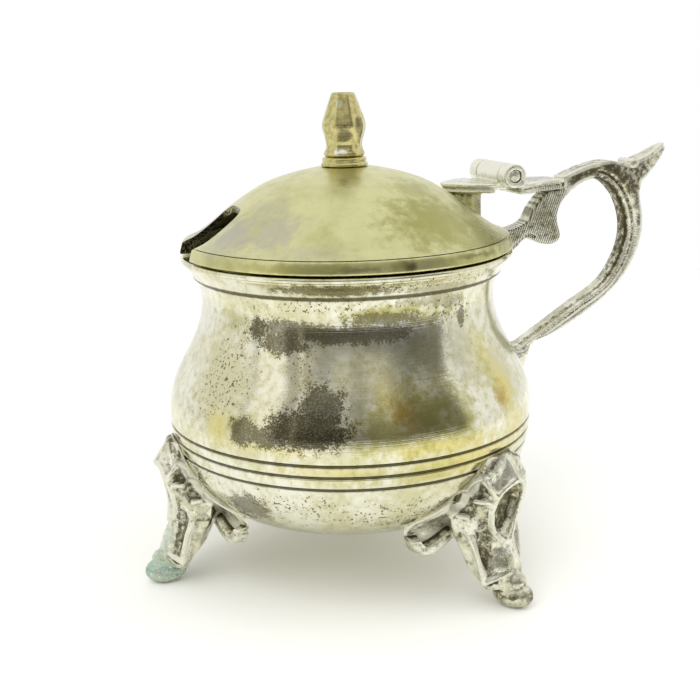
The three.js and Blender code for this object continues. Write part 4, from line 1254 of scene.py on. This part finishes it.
class POT_OT_bowl(bpy.types.Operator):
    """Turn the bowl with its three grooves and its open mouth"""
    bl_idname = "pot.bowl"
    bl_label = "Bowl"

    def execute(self, context):
        wall = size("pot_bowl", "wall")
        half = size("pot_bowl", "groove_width") / 2
        outer = bowl_line()
        # Finely enough for the grooves. Away from them only each seventh point is kept.
        place = np.linspace(0, len(outer) - 1, 900)
        outer = np.stack([np.interp(place, np.arange(len(outer)), outer[:, k]) for k in (0, 1)], axis=1)
        under_moulding = np.clip((outer[:, 1] - 50.1) / 0.4, 0, 1)
        grooved = np.zeros(len(outer))
        for height in groove_heights:
            share = np.clip(1 - (np.abs(outer[:, 1] - height) / half) ** 2, 0, 1)
            grooved = np.maximum(grooved, share)
        outer[:, 0] -= grooved * size("pot_bowl", "groove_depth")
        hollow = np.maximum(under_moulding, grooved)
        beside = (np.roll(hollow, 2) > 0) | (np.roll(hollow, -2) > 0)
        kept = (np.arange(len(outer)) % 7 == 0) | (hollow > 0) | beside
        outer, hollow = outer[kept], hollow[kept]
        lip = [
            (RIM, 51.2), (RIM, 53.9), (RIM - 0.15, 54.15), (RIM - 0.4, MOUTH_Z),
            (RIM - wall + 0.3, MOUTH_Z), (RIM - wall + 0.05, 54.1), (RIM - wall, 53.8),
        ]
        inside = moved_in(bowl_line(), wall)[::6][::-1][1:-1]
        line = [*outer, *lip, *inside, (0, BASE_Z + wall)]
        depth = [*hollow, *[0] * (len(line) - len(hollow))]
        dents = {"Dents": context.scene.pot_bowl.dent, "Dent size": context.scene.pot_bowl.dent_size}
        mesh = turned("bowl", line, finish(SILVER), depth, **dents)
        set_up("bowl_body", mesh, POT, ["bowl"])
        return {"FINISHED"}


class POT_OT_moulding(bpy.types.Operator):
    """Turn the moulding round the mouth"""
    bl_idname = "pot.moulding"
    bl_label = "Mouth moulding"

    def execute(self, context):
        outer = faired(smooth(moulding_outer, 6), 4)
        foot = (MOULDING_INNER, 50.8)
        line = [foot, *outer, (MOULDING_INNER, MOUTH_Z), foot]
        hollow = [1.0, *np.clip(1.3 - (outer[:, 1] - 50.78) / 0.4, 0, 1), 0, 1.0]
        mesh = turned("moulding", line, finish(SILVER), hollow)
        set_up("mouth_moulding_ring", mesh, POT, ["mouth_moulding"])
        return {"FINISHED"}


class POT_OT_lid(bpy.types.Operator):
    """Spin the dome, turn its edge band and cut the spoon notch through both"""
    bl_idname = "pot.lid"
    bl_label = "Lid"

    def execute(self, context):
        sheet = size("pot_lid", "sheet")
        outer = faired(smooth(dome_knots, 14), 30)
        inner = moved_in(outer, sheet)[::-1][::3]
        inner = inner[inner[:, 1] > 56.6]
        bore = [(STUD_HOLE, DOME_SEAT_Z), (STUD_HOLE, DOME_SEAT_Z - sheet)]
        line = [*outer, *bore, *inner, (25.2, 56.6), outer[0]]
        dents = {"Dents": context.scene.pot_lid.dent, "Dent size": context.scene.pot_bowl.dent_size}
        dome = notched(turned("dome", line, finish(GILT), **dents), "dome")
        set_up("lid_dome_sheet", dome, LID, ["lid_dome"], 30)
        band = notched(turned("band", [*band_outer, band_outer[0]], finish(GILT)), "band")
        set_up("lid_edge_band", band, LID, ["lid_band"], 50)
        return {"FINISHED"}


class POT_OT_finial(bpy.types.Operator):
    """Turn the collar, the bud and its stud, and make the nut that holds them"""
    bl_idname = "pot.finial"
    bl_label = "Finial"

    def execute(self, context):
        sizes = context.scene.pot_lid
        collar = faired(smooth(collar_outer[1:-1], 4), 2)
        line = [collar_outer[0], *collar, collar_outer[-1], collar_outer[0]]
        mesh = turned("collar", line, finish(BRASS), Sides=96)
        set_up("finial_collar_ring", mesh, LID, ["finial_collar"])
        bud = faired(smooth(bud_outer[1:], 6), 6)
        top = [(1.3, 79.3), (0.9, 79.36), (0.5, 79.3), (0, 79.32)]
        stud = [(0, STUD_FOOT_Z), (0.9, STUD_FOOT_Z), (1.15, STUD_FOOT_Z + 0.25), bud_outer[0]]
        flats = {"Flats": sizes.flats, "Flat depth": sizes.flat_depth, "Flats from": 70.4 * MM}
        mesh = turned("bud", [*stud, *bud, *top], finish(BRASS), Sides=144, **flats)
        set_up("finial_bud_turned", mesh, LID, ["finial_bud"])
        set_up("finial_nut_hex", self.nut(), LID, ["finial_nut"], 30)
        return {"FINISHED"}

    def nut(self):
        """A hexagon nut with its corners turned off, bored for the stud."""
        low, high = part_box("finial_nut")
        shape = bmesh.new()
        rings = []
        tall = (high.z - low.z) / MM
        profile = [
            (STUD_HOLE, 0), (2.25, 0), (NUT_CORNER, 0.2), (NUT_CORNER, tall / 2), (NUT_CORNER, tall - 0.2),
            (2.25, tall), (STUD_HOLE, tall),
        ]
        for radius, height in profile:
            ring = []
            for k in range(NUT_SIDES):
                turn = 2 * math.pi * k / NUT_SIDES
                to_flat = NUT_FLAT / math.cos((turn + math.pi / 6) % (math.pi / 3) - math.pi / 6)
                reach = min(radius, to_flat) * MM
                ring.append(shape.verts.new(
                    (AXIS_X + reach * math.cos(turn), reach * math.sin(turn), low.z + height * MM)
                ))
            rings.append(ring)
        for first, second in zip(rings, rings[1:] + rings[:1]):
            for a, b, c, d in zip(first, first[1:] + first[:1], second[1:] + second[:1], second):
                shape.faces.new((a, b, c, d))
        mesh = mesh_of("nut", shape)
        mesh.materials.append(finish(BRASS))
        return mesh


class POT_OT_hinge(bpy.types.Operator):
    """Cast the hinge's two leaves and make its pin"""
    bl_idname = "pot.hinge"
    bl_label = "Hinge"

    def execute(self, context):
        for name, mesh, body, node in (
            ("hinge_leaf_on_lid", lid_leaf_mesh(), LID, "hinge_leaf_lid"),
            ("hinge_leaf_on_handle", pot_leaf_mesh(), POT, "hinge_leaf_handle"),
        ):
            mesh.materials.append(finish(CAST))
            set_up(name, mesh, body, [node], 60)
        set_up("hinge_pin_rod", self.pin(), POT, ["hinge_pin"])
        return {"FINISHED"}

    def pin(self):
        """A rod with softly rounded ends, lying along the hinge."""
        half = [(1.03, 6.95), (0.9, 7.1), (0.6, 7.2), (0, 7.22)]
        line = [*[(radius, -along) for radius, along in half[::-1]], *half]
        mesh = turned("pin", line, finish(CAST), Sides=48, **{"Axis X": 0.0})
        mesh.transform(Matrix.Rotation(math.radians(90), 4, "X"))
        mesh.transform(Matrix.Translation(Vector(hinge)))
        return mesh


class POT_OT_handle(bpy.types.Operator):
    """Cast the scroll handle with its spur and the hinge's bracket"""
    bl_idname = "pot.handle"
    bl_label = "Handle"

    def execute(self, context):
        mesh = handle_mesh()
        mesh.materials.append(finish(CAST))
        set_up("handle_casting", mesh, POT, ["handle"], 60)
        return {"FINISHED"}


class POT_OT_feet(bpy.types.Operator):
    """Cast one foot and set three of it round the bowl"""
    bl_idname = "pot.feet"
    bl_label = "Feet"

    def execute(self, context):
        pattern = foot_mesh()
        tree = foot_tree()
        for seed, (node, angle) in enumerate(FOOT_ANGLES.items()):
            mesh = grown(node, pattern.copy(), tree, {
                "Axis X": AXIS_X, "Angle": math.radians(angle), "Unevenness": FOOT_UNEVENNESS * MM,
                "Seed": float(seed), "Material": finish(CAST_GREEN if node == "foot_front" else CAST),
            })
            set_up(node + "_casting", mesh, POT, [node], 60)
        return {"FINISHED"}


class POT_OT_stage(bpy.types.Operator):
    """Lay the floor, light the room and set the camera"""
    bl_idname = "pot.stage"
    bl_label = "Stage"

    def execute(self, context):
        self.floor(context)
        self.room(context)
        self.mirrored_room(context)
        self.lamps(context)
        self.camera(context)
        context.scene.view_settings.view_transform = "Standard"
        return {"FINISHED"}

    def floor(self, context):
        """A plain white floor that goes over into the white of the room far from the pot."""
        shape = bmesh.new()
        reach = context.scene.pot_stage.floor_radius
        bmesh.ops.create_circle(shape, cap_ends=True, segments=96, radius=reach)
        floor = put_in("floor", mesh_of("floor", shape))
        material = bpy.data.materials.new("white_paper_sweep")
        tree = empty_tree(material)
        paper = add_node(tree, "ShaderNodeBsdfDiffuse", {"Color": (*linear("FAFAF6"), 1)})
        white = add_node(tree, "ShaderNodeEmission", {"Color": (1, 1, 1, 1), "Strength": 1.0})
        seen = add_node(tree, "ShaderNodeTexCoord", out="Object")
        far = add_node(tree, VECTOR, [seen], "Value", operation="LENGTH")
        fade = add_node(tree, inputs=[far, *FLOOR_FADE], **RAMP)
        mixed = add_node(tree, "ShaderNodeMixShader", [fade, paper, white])
        add_node(tree, "ShaderNodeOutputMaterial", [mixed])
        floor.data.materials.append(material)

    def room(self, context):
        """Even white light. The camera and the metal see the white room itself."""
        world = bpy.data.worlds.new("white_room")
        context.scene.world = world
        tree = empty_tree(world)
        path = tree.nodes.new("ShaderNodeLightPath").outputs
        seen = add_node(tree, inputs=[path["Is Camera Ray"], path["Is Glossy Ray"]], **MOST)
        seen = add_node(tree, inputs=[seen, path["Is Transmission Ray"]], **MOST)
        levels = {"Value": seen, "To Min": context.scene.pot_stage.sky, "To Max": 1.0}
        strength = add_node(tree, "ShaderNodeMapRange", levels)
        light = add_node(tree, "ShaderNodeBackground", {"Color": (1, 1, 1, 1), "Strength": strength})
        add_node(tree, "ShaderNodeOutputWorld", [light])

    def mirrored_room(self, context):
        """What the metal mirrors in front of the pot: a dim room between the walls of a white tent, with
        a bright strip and two narrow seams beside it. No other light meets these panels."""
        for name, (start, end, radius, low, high, foot, top) in room_panels.items():
            shape = bmesh.new()
            edges = []
            for k in range(PANEL_STEPS + 1):
                turn = math.radians(CAMERA_AZIMUTH + start + (end - start) * k / PANEL_STEPS)
                x, y = AXIS_X + radius * math.cos(turn), radius * math.sin(turn)
                edges.append([shape.verts.new((x, y, low)), shape.verts.new((x, y, high))])
            for (a, b), (c, d) in zip(edges, edges[1:]):
                shape.faces.new((a, c, d, b))
            panel = put_in(name, mesh_of(name, shape))
            for kind in ("camera", "diffuse", "transmission", "volume_scatter", "shadow"):
                setattr(panel, "visible_" + kind, False)
            panel.data.materials.append(self.panel_material(name, high, foot, top))

    def panel_material(self, name, high, foot, top):
        """Light that grows from a panel's foot to its top. The dimmer panels are uneven as a room is."""
        material = bpy.data.materials.new(name)
        tree = empty_tree(material)
        point = add_node(tree, "ShaderNodeTexCoord", out="Object")
        height = add_node(tree, "ShaderNodeSeparateXYZ", [point], "Z")
        level = add_node(tree, inputs=[height, 0.0, high * 0.7, foot, top], **RAMP)
        if top < 1:
            uneven = add_node(tree, inputs=[speckle(tree, point, 0.16, 2.0), 0.3, 0.7, 0.7, 1.3], **RAMP)
            level = add_node(tree, MATH, [level, uneven], operation="MULTIPLY")
        light = add_node(tree, "ShaderNodeEmission", {"Color": (1.0, 0.98, 0.93, 1), "Strength": level})
        add_node(tree, "ShaderNodeOutputMaterial", [light])
        return material

    def lamps(self, context):
        """A wide soft lamp above and left of the camera, and a small one from the right. The metal
        doesn't mirror them."""
        for name, place, width, share in (
            ("main_softbox", (-0.35, -0.35, 0.55), 0.5, 1.0),
            ("side_softbox", (0.5, -0.2, 0.35), 0.3, 0.35),
        ):
            lamp = bpy.data.lights.new(name, "AREA")
            lamp.size = width
            lamp.energy = context.scene.pot_stage.key * share
            holder = put_in(name, lamp)
            holder.location = place
            towards = Vector(LAMPS_AIM) - Vector(place)
            holder.rotation_euler = towards.to_track_quat("-Z", "Y").to_euler()
            holder.visible_glossy = False

    def camera(self, context):
        """The lens as it was fitted to the photograph's ellipses."""
        stage = context.scene.pot_stage
        lens = bpy.data.cameras.new("camera")
        lens.sensor_width = 36
        lens.lens = CAMERA_LENS
        camera = put_in("camera", lens)
        place = Matrix.Translation((AXIS_X, 0, 0))
        place = place @ Matrix.Rotation(math.radians(CAMERA_AZIMUTH + 90), 4, "Z")
        place = place @ Matrix.Translation((0, -stage.camera_distance, stage.camera_height))
        for angle, axis in ((CAMERA_YAW, "Z"), (90 - CAMERA_PITCH, "X"), (CAMERA_ROLL, "Z")):
            place = place @ Matrix.Rotation(math.radians(angle), 4, axis)
        camera.matrix_world = place
        context.scene.camera = camera


class POT_PT_panel(bpy.types.Panel):
    """Lists the pot's pieces and the sizes and colours that can be changed"""
    bl_idname = "POT_PT_panel"
    bl_label = "Condiment pot"
    bl_space_type = "VIEW_3D"
    bl_region_type = "UI"
    bl_category = "Pot"

    def draw(self, context):
        for step in STEPS:
            self.layout.operator(step.bl_idname)
        for group in GROUPS:
            box = self.layout.box()
            for label in GROUPS[group].__annotations__:
                box.prop(getattr(context.scene, group), label)


GROUPS = {
    "pot_bowl": BowlSizes, "pot_lid": LidSizes, "pot_castings": CastingSizes, "pot_finishes": Finishes,
    "pot_stage": StageSettings,
}
STEPS = [
    POT_OT_stage, POT_OT_bowl, POT_OT_moulding, POT_OT_lid, POT_OT_finial, POT_OT_hinge, POT_OT_handle,
    POT_OT_feet,
]


def register():
    for item in [*GROUPS.values(), *STEPS, POT_PT_panel]:
        bpy.utils.register_class(item)
    for label, group in GROUPS.items():
        setattr(bpy.types.Scene, label, PointerProperty(type=group))


def unregister():
    for label in GROUPS:
        delattr(bpy.types.Scene, label)
    for item in [POT_PT_panel, *reversed(STEPS), *GROUPS.values()]:
        bpy.utils.unregister_class(item)


def main():
    register()
    for step in STEPS:
        section, action = step.bl_idname.split(".")
        getattr(getattr(bpy.ops, section), action)()


if __name__ == "__main__":
    main()
